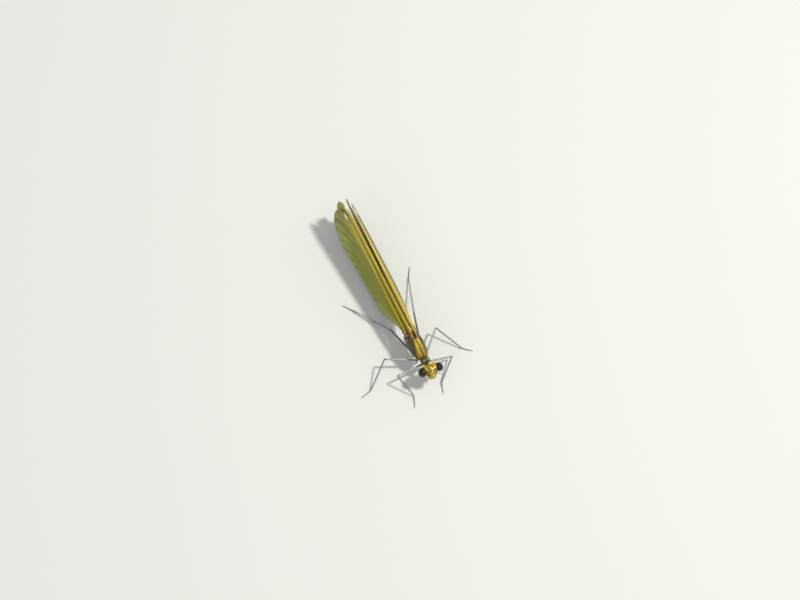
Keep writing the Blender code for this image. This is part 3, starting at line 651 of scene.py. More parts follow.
def tail_radius(at):
    """Tail radius: smooth through the rings' middles, swollen at each hind rim, nipped at joints."""
    middles = 0.5 * (tail_joints[:-1] + tail_joints[1:])
    radius = through(list(zip(middles, TAIL_RADII)), at)[:, 0]
    ring = np.clip(np.searchsorted(-tail_joints, -at) - 1, 0, len(TAIL_LENGTHS) - 1)
    into = tail_joints[ring] - at
    left = at - tail_joints[ring + 1]
    rim = 0.035 * bell(left - 0.05, 0.14) - 0.045 * bell(into, 0.16) + 0.02 * bell(into - 0.3, 0.16)
    end = np.sqrt(np.clip((at - tail_joints[-1]) / 0.3, 0.0, 1))
    last = (ring == len(TAIL_LENGTHS) - 1) & (left < 0.3)
    return (radius + rim) * np.where(last, 0.35 + 0.65 * end, 1.0)


def seam_distance(forward, angle, reach, keys):
    """How far points lie across from a line drawn over place and angle round the body."""
    table = np.array(sorted(keys), float)
    wanted = np.radians(np.interp(forward, table[:, 0], table[:, 1]))
    slope = np.radians(np.gradient(table[:, 1], table[:, 0]))
    lean = reach * np.interp(forward, table[:, 0], slope)
    across = (angle - wanted) * reach / np.sqrt(1 + lean**2)
    return across, ease(forward, table[0, 0] - 0.25,
        table[0, 0]) * (1 - ease(forward, table[-1, 0], table[-1, 0] + 0.2))


forward = body_stations()
chest = through(CHEST_KEYS, forward)
tail_side, tail_up = through(TAIL_LINE, np.minimum(forward, TAIL_START)).T
radius = tail_radius(np.minimum(forward, TAIL_START))
tail = np.column_stack([radius, tail_up + 1.04 * radius, tail_up - 0.98 * radius, np.full(len(radius), 2.0)])
turnover = ease(-forward, 4.0, 4.55)[:, None]
shape = chest * (1 - turnover) + tail * turnover
lean = CHEST_LEAN + (COLLAR_LEAN - CHEST_LEAN) * ease(forward, 3.2, 3.7)
lean = np.where(forward > 5.2, COLLAR_LEAN + 0.13 * ease(forward, 5.2, 5.8), lean)
lean = lean * (1 - turnover[:, 0]) + tail_side * turnover[:, 0]
half_width, top, bottom, roof = (column[:, None] for column in shape.T)
angle = -np.linspace(0, 2 * math.pi, BODY_SIDES, endpoint=False)[None, :] + 0 * half_width
across, rise = np.cos(angle), np.sin(angle)
waist = WAIST + (0.5 - WAIST) * turnover
middle = bottom + waist * (top - bottom)
belly = BELLY + (2.0 - BELLY) * turnover
power = np.where(rise > 0, roof, belly)
left = half_width * np.sign(across) * np.abs(across) ** (2 / power)
height = np.where(rise > 0, top - middle, middle - bottom) * np.sign(rise) * np.abs(rise) ** (2 / power)
reach = np.hypot(left, height)
slant = np.arctan2(height, left)
x_all = forward[:, None] + 0 * reach
side_angle = np.arctan2(rise, np.abs(across))
on_chest = ease(x_all, -3.9, -3.3) * (1 - ease(x_all, 3.3, 3.45))

lift = np.zeros_like(reach)
dark = np.zeros_like(reach)
panels = []
for keys, depth, width in ((SHOULDER_SEAM, 0.07, 0.06), (SIDE_SEAM, 0.045, 0.05), (HIND_SEAM, 0.06, 0.055)):
    off, within = seam_distance(x_all, side_angle, reach, keys)
    lift -= depth * bell(off, width) * within
    lift += 0.035 * bell(np.abs(off) - 0.2, 0.14) * within
    dark = np.maximum(dark, bell(off, 0.085) * within)
    panels.append((off, within))
shoulder, shoulder_within = panels[0]
keel = bell(left, 0.05) * (rise > 0) * ease(x_all, -0.95, -0.8) * (1 - ease(x_all, 3.15, 3.3))
lift += 0.1 * keel - 0.03 * bell(np.abs(left) - 0.14, 0.07) * (rise > 0) * on_chest * ease(x_all, -0.9, -0.6)
yoke_line = -0.62 - 0.45 * np.minimum(np.abs(left), 1.1)
yoke = bell(x_all - yoke_line, 0.09) * (rise > 0) * (np.abs(left) < 1.25)
lift += 0.09 * yoke
behind_yoke = ease(yoke_line - x_all, 0.0, 0.25) * ease(x_all, -3.9, -3.3) * (rise > 0.3)
for at, apart, size in ((-1.75, 0.0, 0.5), (-2.35, 0.0, 0.28), (-3.15, 0.0, 0.42), (-3.7, 0.0, 0.2)):
    lift += 0.3 * size * bell((x_all - at) / 0.6, size) * bell(left - apart, size * 0.9) * (rise > 0)
upward = ease(rise, 0.0, 0.75)
collar_humps = bell(x_all - 4.32, 0.17) * bell(np.abs(left) - 0.5, 0.27) * (rise > 0)
collar_cheeks = bell(x_all - 4.25, 0.2) * bell(side_angle - 0.2, 0.28)
collar_flap = bell(x_all - 3.8, 0.085) * bell(left, 0.75) * (rise > 0)
collar_rim = bell(x_all - 4.88, 0.07) * upward
lift += 0.13 * collar_humps + 0.12 * collar_cheeks + 0.1 * collar_flap + 0.04 * collar_rim
lift -= 0.07 * (bell(x_all - 4.66, 0.07) + bell(x_all - 3.99, 0.06)) * upward
lift -= 0.07 * bell(left, 0.06) * bell(x_all - 4.33, 0.24) * (rise > 0)
seat_mark = np.zeros_like(reach)
for at, apart, up, rise_by, long, wide in WING_SEATS:
    heading = np.arctan2(up - middle, apart + 0 * middle)
    mirrored_slant = np.where(left >= 0, slant, math.pi - slant)
    bump = bell(x_all - at, long) * bell((mirrored_slant - heading) * reach, wide) * (rise > -0.2)
    lift += rise_by * bump
    seat_mark = np.maximum(seat_mark, bump)
fold = (x_all < TAIL_START - 0.4) * bell((np.abs(side_angle + 1.0)) * reach, 0.045)
lift -= 0.035 * fold
ridge = bell(left, 0.035) * (rise > 0) * (x_all < TAIL_START - 0.6)
lift += 0.018 * ridge
wrinkle = np.sin(x_all * 3.1 + 2.0 * slant) * np.sin(x_all * 1.3 - 3.0 * slant) + 0.6 * np.sin(x_all * 6.7
    + 5 * slant)
lift += 0.008 * wrinkle * on_chest
scale = (reach + lift) / reach
body = np.stack([x_all, lean[:, None] + left * scale, middle + height * scale], -1) + THORAX_AT

joint_near = np.min(np.abs(forward[:, None] - tail_joints[None, 1:]), axis=1)[:, None]
tail_share = ease(-x_all, 4.1, 4.5)
dark = np.maximum(dark, bell(joint_near, 0.09) * tail_share)
midline = bell(left, 0.12) * (rise > 0) * ease(x_all, -0.95, -0.8) * (1 - ease(x_all, 3.15, 3.3))
dark = np.maximum(dark, bell(x_all - 3.58, 0.09))
dark = np.maximum(dark, (bell(x_all - 3.98, 0.06) + bell(x_all - 4.66, 0.06)) * upward)
dark = np.maximum(dark, bell(left, 0.09) * bell(x_all - 4.33, 0.26) * (rise > 0))
panel = ease(shoulder, 0.02, 0.12) * shoulder_within * (rise > 0) * on_chest * ease(x_all - yoke_line, 0.05,
    0.2)
# The shoulder panels carry the thorax's own gold, but how bright it is comes from a painted highlight:
# brightest in a band along each panel and dimmed towards the front.
toward_front = ease(x_all, 0.4, 3.0)
panel_painted_highlight = panel * (0.12 + 0.88 * bell(np.abs(left) - 0.42,
    0.42 - 0.12 * toward_front)) * (1 - 0.45 * toward_front)
flank = (1 - ease(side_angle, -1.25, -0.95)) * on_chest
specks = 1.3 * (collar_humps + 0.9 * collar_cheeks + bell(np.abs(left) - 0.36, 0.22) * collar_flap)
specks += 1.2 * bell(np.abs(left) - 0.5, 0.22) * collar_rim
specks = ease(specks, 0.3, 0.8)
freckle = np.sin(6.1 * x_all + 9.0 * side_angle + 2.1 * np.sin(3.7 * x_all + 2.0)) * np.sin(
    4.3 * x_all - 12.0 * side_angle + 2.4 * np.sin(5.0 * side_angle - 1.9 * x_all))
specks += 0.55 * ease(freckle, 0.5, 0.95) * on_chest * (shoulder < -0.12) * (side_angle > -1.0)
stripe = bell(panels[2][0] - 0.12, 0.07) * panels[2][1] * (side_angle > -0.75)
stripe = np.maximum(stripe, 0.8 * bell(panels[1][0] - 0.1, 0.05) * panels[1][1] * (side_angle < 0.2))
yellow = np.clip(specks + stripe + 0.75 * flank + behind_yoke * bell(np.abs(left) - 0.1, 0.16) * 0.5, 0, 1)
seat_ring = np.clip(bell(seat_mark - 0.42, 0.3) * (seat_mark > 0.08), 0, 1)
pink = np.clip(seat_ring * (np.sin(9 * x_all + 7 * left) > -0.45), 0, 1)
pink = np.maximum(pink, bell(x_all + 1.78, 0.2) * bell(left + 1.75, 0.35) * (side_angle > 0.2))
blue = np.clip(bell(seat_mark - 0.8, 0.16) + behind_yoke * 0.85 * (1 - pink) + midline, 0, 1)
pale_line = ridge * ease(-x_all, -tail_joints[7], -tail_joints[7] + 0.4)
under = ease(-side_angle, 1.02, 1.1) * tail_share
green = np.clip((on_chest * (1 - panel) + ease(x_all, 3.4, 3.6)) * (1 - flank), 0, 1)

hide_paint = chitin_paint(
    "body_bronze",
    (0.09, 0.085, 0.022),
    # The third layer is the thorax gold with a painted highlight laid into it.
    (("green", (0.05, 0.062, 0.016)), ("panel", (0.3, 0.19, 0.022)), ("painted_highlight", (0.88, 0.6, 0.025)),
     ("under", (0.05, 0.04, 0.02)), ("yellow", (0.72, 0.55, 0.045)), ("blue", (0.02, 0.028, 0.045)),
     ("pink", (0.75, 0.33, 0.17)), ("pale", (0.45, 0.38, 0.12)), ("dark", (0.014, 0.016, 0.012))),
    (0.05, 0.045, 0.012),
    0.5,
    0.3,
    0.5,
    grain=2600.0,
    coat=0.25,
)
rows = len(forward)
ends = np.array([body[0].mean(axis=0), body[-1].mean(axis=0)])
quads, fans = shell_faces(rows, BODY_SIDES)
pad = np.zeros(2)
marks = {"green": green, "panel": panel, "painted_highlight": panel_painted_highlight, "under": under, "yellow": yellow,
         "blue": blue, "pink": pink, "pale": pale_line, "dark": np.clip(dark, 0, 1)}
make_piece("body_skin", np.vstack([body.reshape(-1, 3), ends]), quads, fans, hide_paint, "thorax_bronze",
           ("prothorax", "thorax", *(f"abdomen_{ring:02d}" for ring in range(1, 11))),
           **{name: np.append(values, pad) for name, values in marks.items()})

# The legs. Each is one jointed tube of thin chitin from hip to claws: a stout hip, a small
# ring, the long thigh, the shin and a foot of three short joints that lies on the floor.
LEG_PLACES = {
    "front_left": ((4.35, 0.58, 5.5), (4.1, 0.8, 3.87), (4.9, 6.98, 1.99), (9.02, 2.13), (11.3, 1.3)),
    "front_right": ((4.35, -0.58, 5.5), (4.1, -0.8, 3.87), (4.14, -7.14, 4.24), (9.0, -5.1), (11.36, -6.12)),
    "middle_left": ((2.2, 0.5, 4.95), (2.6, 0.95, 3.37), (-2.51, 6.54, 3.39), (3.69, 10.32), (5.21, 12.11)),
    "middle_right": ((2.2, -0.9, 4.95), (2.6, -0.95, 3.37), (-0.74, -7.9, 4.38), (3.45, -13.31),
        (4.01, -15.76)),
    "hind_left": ((0.55, 0.55, 4.8), (0.9, 1.0, 3.17), (-7.84, 3.65, 3.63), (-16.69, 7.29), (-19.31, 8.92)),
    "hind_right": ((0.55, -0.95, 4.8), (0.9, -1.0, 3.17), (-7.23, -2.69, 1.76), (-15.55, -7.87),
        (-17.68, -9.45)),
}
ANKLE_UP = 0.4
TOE_UP = 0.085
CORNER = 0.3
LEG_STATIONS = 300
LEG_SIDES = 20
HIP_KEYS = ((0.0, 0.46), (0.45, 0.43), (0.8, 0.36))
THIGH_KEYS = ((0.0, 0.24), (0.12, 0.27), (0.34, 0.26), (0.46, 0.19), (0.62, 0.22))
THIGH_SHAPE = ((0.2, 0.255), (0.55, 0.23), (0.86, 0.19))
KNEE_KEYS = ((-0.4, 0.19), (-0.14, 0.215), (0.0, 0.175), (0.1, 0.125), (0.25, 0.15))
SHIN_SHAPE = ((0.2, 0.155), (0.6, 0.14), (0.93, 0.12))
ANKLE_KEYS = ((-0.12, 0.13), (0.02, 0.075), (0.14, 0.1))
FOOT_SHAPE = ((0.2, 0.098), (0.23, 0.072), (0.27, 0.095), (0.5, 0.092), (0.53, 0.068), (0.57, 0.088),
              (0.93, 0.08), (1.0, 0.05))
SPINE_STEP = 0.52
SPINE_SPREAD = math.radians(38.0)
CLAW_BENDS = ((-0.06, 0.0, 0.0), (0.1, 0.05, 0.03), (0.24, 0.1, 0.0), (0.33, 0.13, -0.055),
    (0.36, 0.14, -0.085))


def rounded_path(corners, radius, count):
    """Straight runs between corners with each corner swung through by a quadratic curve,
    read at even steps of length; also gives the length at which each corner is passed."""
    corners = np.asarray(corners, float)
    line = [corners[0]]
    u = np.linspace(0, 1, 9)[:, None]
    for before, corner, after in zip(corners, corners[1:], corners[2:]):
        cut = min(radius, 0.35 * np.linalg.norm(corner - before), 0.35 * np.linalg.norm(after - corner))
        start = corner + cut * (before - corner) / np.linalg.norm(before - corner)
        end = corner + cut * (after - corner) / np.linalg.norm(after - corner)
        line.extend((1 - u) ** 2 * start + 2 * u * (1 - u) * corner + u**2 * end)
    line = np.array(line + [corners[-1]])
    run = np.concatenate([[0], np.cumsum(np.linalg.norm(np.diff(line, axis=0), axis=1))])
    passed = [run[np.argmin(np.linalg.norm(line - corner, axis=1))] for corner in corners]
    at = np.linspace(0, run[-1], count)
    return np.column_stack([np.interp(at, run, line[:, axis]) for axis in range(3)]), at, np.array(passed)


def leg_radius(at, passed):
    """Thickness along a leg from the keys of its joints in millimetres and of its runs in shares."""
    hip, knee, ankle, toe = passed[1:]
    keys = [(hip * share, radius) for share, radius in HIP_KEYS]
    keys += [(hip + along, radius) for along, radius in THIGH_KEYS]
    keys += [(hip + share * (knee - hip), radius) for share, radius in THIGH_SHAPE]
    keys += [(knee + along, radius) for along, radius in KNEE_KEYS]
    keys += [(knee + share * (ankle - knee), radius) for share, radius in SHIN_SHAPE]
    keys += [(ankle + along, radius) for along, radius in ANKLE_KEYS]
    keys += [(ankle + share * (toe - ankle), radius) for share, radius in FOOT_SHAPE]
    table = np.array(sorted(keys))
    return np.interp(at, table[:, 0], table[:, 1])


def bristles(roots, ways, lengths, thickness, droop=0.15):
    """Tapered hairs: from each root a curve that starts along its way and droops, thin at the tip."""
    ways = ways / np.linalg.norm(ways, axis=1, keepdims=True)
    shares = np.array([-0.08, 0.0, 0.35, 0.7, 1.0])
    lengths = np.broadcast_to(lengths, len(roots))
    paths = roots[:, None, :] + (lengths[:, None] * shares[None, :])[:, :, None] * ways[:, None, :]
    paths[:, :, 2] -= droop * lengths[:, None] * shares[None, :] ** 2
    radii = thickness * np.array([1.0, 1.0, 0.75, 0.45, 0.08])
    guide = np.where(np.abs(ways[:, 2:]) > 0.9, np.array([[1.0, 0, 0]]), np.array([[0, 0, 1.0]]))
    return strands(paths, np.broadcast_to(radii, paths.shape[:2]), 4, guide[:, None, :])


leg_paint = chitin_paint(
    "leg_grey",
    (0.12, 0.145, 0.165),
    (("pale", (0.6, 0.57, 0.56)), ("silver", (0.42, 0.49, 0.53)), ("dark", (0.025, 0.028, 0.032))),
    (0.05, 0.055, 0.06),
    0.55,
    0.34,
    0.0,
    grain=4200.0,
    pit=0.004,
    coat=0.3,
)
spine_paint = chitin_paint("spine_black", (0.03, 0.028, 0.026), (), (0.09, 0.07, 0.04), 0.4, 0.35, 0.0,
    9000.0)
SOLE_BEND = 0.35
SOLE_BEND_UP = 0.16
for name, (root, hip, knee, ankle, toe) in LEG_PLACES.items():
    pair = name.split("_")[0]
    corners = np.array([root, hip, knee, (*ankle, ANKLE_UP), (*toe, TOE_UP)])
    foot_bend = corners[3] + SOLE_BEND * (corners[4] - corners[3])
    foot_bend[2] = SOLE_BEND_UP
    path, at, passed = rounded_path(np.vstack([corners[:4], foot_bend, corners[4]]), CORNER, LEG_STATIONS)
    passed = np.delete(passed, 4)
    radii = leg_radius(at, passed)
    plane = np.cross(corners[2] - corners[1], corners[3] - corners[2])
    plane /= np.linalg.norm(plane)
    tube = strands(path[None], radii[None], LEG_SIDES, plane)
    tube[0][:, 2] = np.maximum(tube[0][:, 2], 0.004)
    along = np.repeat(at, LEG_SIDES)
    hip_at, knee_at, ankle_at, toe_at = passed[1:]
    thigh = ease(along, hip_at + 0.5, hip_at + 0.9) * (1 - ease(along, knee_at - 0.5, knee_at - 0.1))
    shin = ease(along, knee_at + 0.1, knee_at + 0.5) * (1 - ease(along, ankle_at - 1.6, ankle_at - 0.3))
    joints = sum(bell(along - joint, 0.1) for joint in (hip_at + 0.46, knee_at + 0.08, ankle_at + 0.03))
    joints += sum(bell(along - ankle_at - share * (toe_at - ankle_at), 0.04) for share in (0.23, 0.53))
    joints += 0.8 * ease(along, toe_at - 0.35, toe_at)
    # Hind thighs get almost no pale and a share of dark: partly their own dark blue-grey, partly painted
    # shade of the shadow they stand in.
    is_hind = pair == "hind"
    make_piece(
        f"leg_{name}", tube[0] + THORAX_AT, *tube[1:], leg_paint, "leg_grey",
        tuple(f"{part}_{name}" for part in ("coxa", "femur", "tibia", "tarsus")),
        pale=thigh * (0.06 if is_hind else 0.85), silver=shin * (0.75 if is_hind else 0.35),
        dark=np.clip(joints + (0.35 * thigh if is_hind else 0), 0, 1),
    )
    inward = 0.5 * (corners[1] + corners[3]) - corners[2]
    inward /= np.linalg.norm(inward)
    roots, ways, lengths = [], [], []
    for start, end, long, begin in ((hip_at, knee_at, 0.42, 1.6), (knee_at, ankle_at, 0.68, 0.7)):
        places = np.arange(start + begin, end - 0.3, SPINE_STEP)
        middle = np.column_stack([np.interp(places, at, path[:, axis]) for axis in range(3)])
        step = np.column_stack([np.interp(places + 0.1, at, path[:, axis]) for axis in range(3)]) - middle
        step /= np.linalg.norm(step, axis=1, keepdims=True)
        share = (places - start) / (end - start)
        for row_side in (1.0, -1.0):
            out = math.cos(SPINE_SPREAD) * inward + row_side * math.sin(SPINE_SPREAD) * plane
            out = out - (step @ out)[:, None] * step
            out /= np.linalg.norm(out, axis=1, keepdims=True)
            thick = np.interp(places, at, radii)
            roots.append(middle + out * (0.9 * thick)[:, None])
            ways.append(out + 0.75 * step)
            lengths.append(long * (0.7 + 0.5 * np.sin(math.pi * share)))
    spines = bristles(np.vstack(roots), np.vstack(ways), np.concatenate(lengths), 0.022, 0.0)
    heading = corners[4] - corners[3]
    heading[2] = 0
    heading /= np.linalg.norm(heading)
    sideways = np.cross((0, 0, 1.0), heading)
    claws = []
    for claw_side in (1.0, -1.0):
        bends = np.array(CLAW_BENDS)
        line = corners[4] + np.outer(bends[:, 0], heading) + np.outer(bends[:, 1] * claw_side, sideways)
        line[:, 2] += bends[:, 2]
        line = smooth_line(line, 14)
        claws.append(strands(line[None], np.linspace(0.036, 0.006, 14)[None], 8, (0, 0, 1.0)))
    spine_points, spine_quads, spine_fans = gather([spines, *claws])
    spine_points[:, 2] = np.maximum(spine_points[:, 2], 0.004)
    make_piece(f"spines_{name}", spine_points + THORAX_AT, spine_quads, spine_fans, spine_paint,
        "antenna_black")

# The wings. Four sheets of clear film tinted olive, stretched over a net of hollow veins: a
# stiff strip of three veins along the front edge, golden bronze under a painted sheen, pleated
# sectors fanning out behind it, and hundreds of cross-veins. All four are shut over the back, and hinge on
# the wing seats.
WING_PLACES = {
    "forewing_left": (1.0, (-1.2, 0.44, 9.32), 0.41, 36.1, 9.2, 6.5,
                      ((0.0, -0.06), (0.1, -0.15), (0.32, -0.08), (0.6, 0.03), (1.0, 0.03))),
    "forewing_right": (-1.0, (-1.2, 0.44, 9.32), 0.41, 36.1, 9.2, 11.5,
                       ((0.0, 0.0), (0.2, 0.05), (0.5, 0.0), (1.0, 0.0))),
    "hindwing_left": (1.0, (-2.9, 1.12, 8.2), 0.86, 33.2, 9.0, 18.0,
                      ((0.0, 0.0), (0.3, 0.02), (0.6, 0.0), (1.0, 0.0))),
    "hindwing_right": (-1.0, (-2.9, 1.12, 8.2), 0.86, 33.2, 9.0, 14.0,
                       ((0.0, 0.0), (0.15, 0.13), (0.3, 0.0), (0.56, -0.06), (0.8, 0.05), (1.0, 0.14))),
}
EDGE_RISE = math.radians(8.1)
TIP_SHARE = 0.36
ROOT_SLANT = 0.65
FILM_HALF = 0.012
FILM_STATIONS = 170
STRIP_ROWS = 10
FAN_ROWS = 141
PAINTED_SHADE_LINES = 14
STRIP_WIDE = 0.62
NODUS = 0.45
FIRST_SECTORS = (0.0, 2 / 7, 4 / 7, 6 / 7, 1.0)
CELL_WIDE = 0.66
CELL_LONG = 0.44
PLEATS = 7
STIGMA = (4.25, 2.85)
ROOT_BEND = np.array([[-0.1, 1.1, 0.0], [-0.24, 0.75, 0.0], [-0.16, 0.22, 0.0]])
ROOT_FORMS = (((-0.35, 1.35, -0.12), (0.5, 0.5, 0.28), 0.1), ((-0.22, 0.75, 0.0), (0.3, 0.42, 0.19), 0.14),
              ((0.3, 0.95, 0.03), (0.42, 0.26, 0.16), 0.1), ((0.75, 0.62, 0.0), (0.5, 0.14, 0.1), 0.1),
              ((0.15, 0.4, 0.0), (0.34, 0.14, 0.12), 0.1))
ROOT_CORE = (-0.02, 0.98, 0.0)


def wing_margin(length, width):
    """The wing's edge in its own plane, from the root's front corner round the tip to the root's
    hind corner, with the length run at each point and at the tip."""
    share = 1 - (1 - np.linspace(0, 1, 1600)) ** 2
    apex = TIP_SHARE * width
    bend = np.maximum(share - 0.76, 0) / 0.24
    front = apex * (1 - np.sqrt(1 - np.minimum(bend, 1) ** 2.4))
    swell = width * (0.12 + 0.88 * np.sin(math.pi / 2 * np.minimum(share / 0.6, 1) ** 0.9))
    close = np.clip((share - 0.6) / 0.4, 0, 1)
    hind = np.where(share < 0.6, swell, apex + (width - apex) * np.sqrt(1 - close**2.2))
    edge = np.column_stack([np.append(share, share[::-1]) * length, np.append(front, hind[::-1])])
    run = np.concatenate([[0], np.cumsum(np.linalg.norm(np.diff(edge, axis=0), axis=1))])
    return edge, run, run[len(share) - 1]


def on_edge(edge, run, at):
    """The edge's point at a run length."""
    return np.stack([np.interp(at, run, edge[:, 0]), np.interp(at, run, edge[:, 1])], -1)


def wing_plan(length, width):
    """Two functions that give places in the wing's plane: the strip's, by share from front vein
    to third vein, and the fan's, by share from the third vein to the hind edge's root; both also
    take the share run from root to margin."""
    edge, run, tip = wing_margin(length, width)
    strip_end = tip - 0.15
    fan_end = tip + 0.5
    hind_start = np.interp(0.07 * length, edge[::-1, 0][: len(edge) // 2], run[::-1][: len(edge) // 2])

    def front_vein(r):
        """The wing's front edge at the share r of the strip's length."""
        return on_edge(edge, run, r * strip_end)

    def third_vein(r):
        """The front vein moved inwards, square to itself, by the strip's width there."""
        place = front_vein(r)
        step = front_vein(np.minimum(r + 0.004, 1)) - front_vein(np.maximum(r - 0.004, 0))
        step /= np.linalg.norm(step, axis=-1, keepdims=True)
        inward = np.stack([-step[..., 1], step[..., 0]], -1)
        wide = STRIP_WIDE * (0.5 + 0.5 * ease(r, 0.0, 0.4))
        line = place + inward * wide[..., None]
        end = on_edge(edge, run, fan_end)
        ends = front_vein(np.ones(1)) - front_vein(np.array([0.992]))
        ends = ends[0] / np.linalg.norm(ends)
        missed = end - (front_vein(np.ones(1))[0] + np.array([-ends[1], ends[0]]) * STRIP_WIDE)
        return line + ease(r, 0.9, 1.0)[..., None] * missed

    def plain_fan(q, r):
        """For each q, a curve from the root to the hind edge, with r the share along it."""
        start = np.stack([0 * q, 0.5 * STRIP_WIDE + (0.12 * width - 0.5 * STRIP_WIDE) * q], -1)
        end = on_edge(edge, run, fan_end + q * (hind_start - fan_end))
        chord = end - start
        long = np.linalg.norm(chord, axis=-1)
        angle = np.arctan2(chord[..., 1], chord[..., 0])
        leave, arrive = 0.35 * angle, 1.75 * angle
        first = start + (0.45 * long)[..., None] * np.stack([np.cos(leave), np.sin(leave)], -1)
        second = end - (0.35 * long)[..., None] * np.stack([np.cos(arrive), np.sin(arrive)], -1)
        u = r[..., None]
        return (1 - u) ** 3 * start + 3 * u * (1 - u) ** 2 * first + 3 * u * u * (1 - u) * second + u**3 * end

    def strip(t, r):
        """Between the two front veins: (1 - t) of the first plus t of the third."""
        return (1 - t)[..., None] * front_vein(r) + t[..., None] * third_vein(r)

    def fan(q, r):
        """The plain fan, moved on to the third vein by (1 - q)^4 and on to the hind edge by q^4."""
        q, r = np.broadcast_arrays(np.asarray(q, float), np.asarray(r, float))
        near = third_vein(r) - plain_fan(0 * q, r)
        far = on_edge(edge, run, run[-1] + r * (hind_start - run[-1])) - plain_fan(0 * q + 1, r)
        return plain_fan(q, r) + ((1 - q) ** 4)[..., None] * near + (q**4)[..., None] * far

    return strip, fan


NO_FANS = np.zeros((0, 3), int)


def strip_height(t, r):
    """How far the strip stands off the wing's plane: the second vein sunk, the third raised."""
    sunk = -0.12 * (1 - ease(r, NODUS - 0.03, NODUS + 0.05))
    raised = 0.1 * (1 - r) ** 0.7
    first_half = 2 * np.minimum(t, 0.5)
    second_half = 2 * np.maximum(t - 0.5, 0)
    middle = sunk + 0.5 * raised * ease(r, NODUS - 0.03, NODUS + 0.05)
    return first_half * middle + second_half * (raised - middle)


def fan_height(q, r):
    """Pleats of the fan, cosine in the share across, dying away to the margin and to the rear."""
    fall = np.power(np.clip(1 - r, 0, 1), 0.7)
    wave = 0.05 * np.sin(2.2 * math.pi * r + 4.0 * q) * q * (1 - q) * 4 * ease(r, 0.0, 0.2)
    return 0.1 * (1 - 0.6 * q) * np.cos(PLEATS * math.pi * q) * fall + wave


def wing_placer(side, root, tip_side, length, flare, twist):
    """A function from the wing's plane to the model: root + reach along + depth down + height out,
    the height growing with depth by the twist at that share of the length."""
    seat = np.array(root) * (1, side, 1) + (0, CHEST_LEAN, 0)
    drift = side * (tip_side - root[1]) - CHEST_LEAN
    along = np.array([-length * math.cos(EDGE_RISE), drift, length * math.sin(EDGE_RISE)])
    along /= np.linalg.norm(along)
    lean = math.radians(flare)
    hang = np.array([0, side * math.sin(lean), -math.cos(lean)])
    down = hang - (hang @ along) * along
    down /= np.linalg.norm(down)
    out = side * np.cross(down, along)

    def place(flat, height):
        """Flat wing places to the model: seat plus reach along, fall down and lift outwards."""
        share = np.clip(flat[..., 0] / length, 0, 1)
        reach = flat[..., 0] + ROOT_SLANT * flat[..., 1] * (1 - share) ** 6
        lifted = height + flat[..., 1] * through(twist, share.ravel())[:, 0].reshape(share.shape)
        return seat + THORAX_AT + reach[..., None] * along + flat[..., 1:] * down + lifted[..., None] * out

    return place, out


def sector_veins(fan):
    """The fan's veins as (share across, start, rank), and the gaps between neighbours as pairs of
    shares with the stretch of run they span; a gap that grows past a cell's width gets a vein."""
    r = np.linspace(0, 1, 260)
    veins = [(q, 0.0, 0) for q in FIRST_SECTORS]
    gaps = []
    open_gaps = [(a, b, 0.0, 1) for a, b in zip(FIRST_SECTORS, FIRST_SECTORS[1:])]
    while open_gaps:
        low, high, begin, rank = open_gaps.pop()
        between = fan(high, r) - fan(low, r)
        step = np.gradient(fan(0.5 * (low + high), r), axis=0)
        step /= np.linalg.norm(step, axis=1, keepdims=True)
        apart = np.abs(between[:, 0] * step[:, 1] - between[:, 1] * step[:, 0])
        limit = CELL_WIDE * (1.0 if rank < 3 else 1.08)
        wide = np.nonzero((apart > limit) & (r > begin + 0.01) & (r < 0.965))[0]
        if len(wide) == 0:
            gaps.append((low, high, begin, 1.0))
            continue
        middle = 0.5 * (low + high)
        start = r[wide[0]]
        veins.append((middle, start, rank))
        gaps.append((low, high, begin, start))
        open_gaps += [(low, middle, start, rank + 1), (middle, high, start, rank + 1)]
    return veins, gaps


def cross_veins(fan, gaps, rng):
    """Pairs of (share across, run) for the two ends of every cross-vein, square to the sectors."""
    ends = []
    for low, high, begin, finish in gaps:
        r = np.linspace(begin, finish, 60)
        line = fan(0.5 * (low + high), r)
        run = np.concatenate([[0], np.cumsum(np.linalg.norm(np.diff(line, axis=0), axis=1))])
        at = np.arange(run[-1], 0.18, -CELL_LONG)
        if finish == 1.0:
            at = at[at < run[-1] - 0.12] if len(at) else at
        if len(at) == 0:
            continue
        loose = (at < run[-1] - 0.01) * CELL_LONG * 0.16
        centre = np.interp(at + loose * rng.uniform(-1, 1, len(at)), run, r)
        step = (fan(0.5 * (low + high), centre + 0.004) - fan(0.5 * (low + high), centre - 0.004)) / 0.008
        across = fan(high, centre) - fan(low, centre)
        shift = -0.5 * np.sum(across * step, axis=1) / np.sum(step * step, axis=1)
        near, far = centre - shift, centre + shift
        keep = (near > begin * 0.98) & (far > begin * 0.98) & (near < 0.998) & (far < 0.998)
        ends.append(np.column_stack([0 * near + low, near, 0 * far + high, far])[keep])
    return np.vstack(ends)


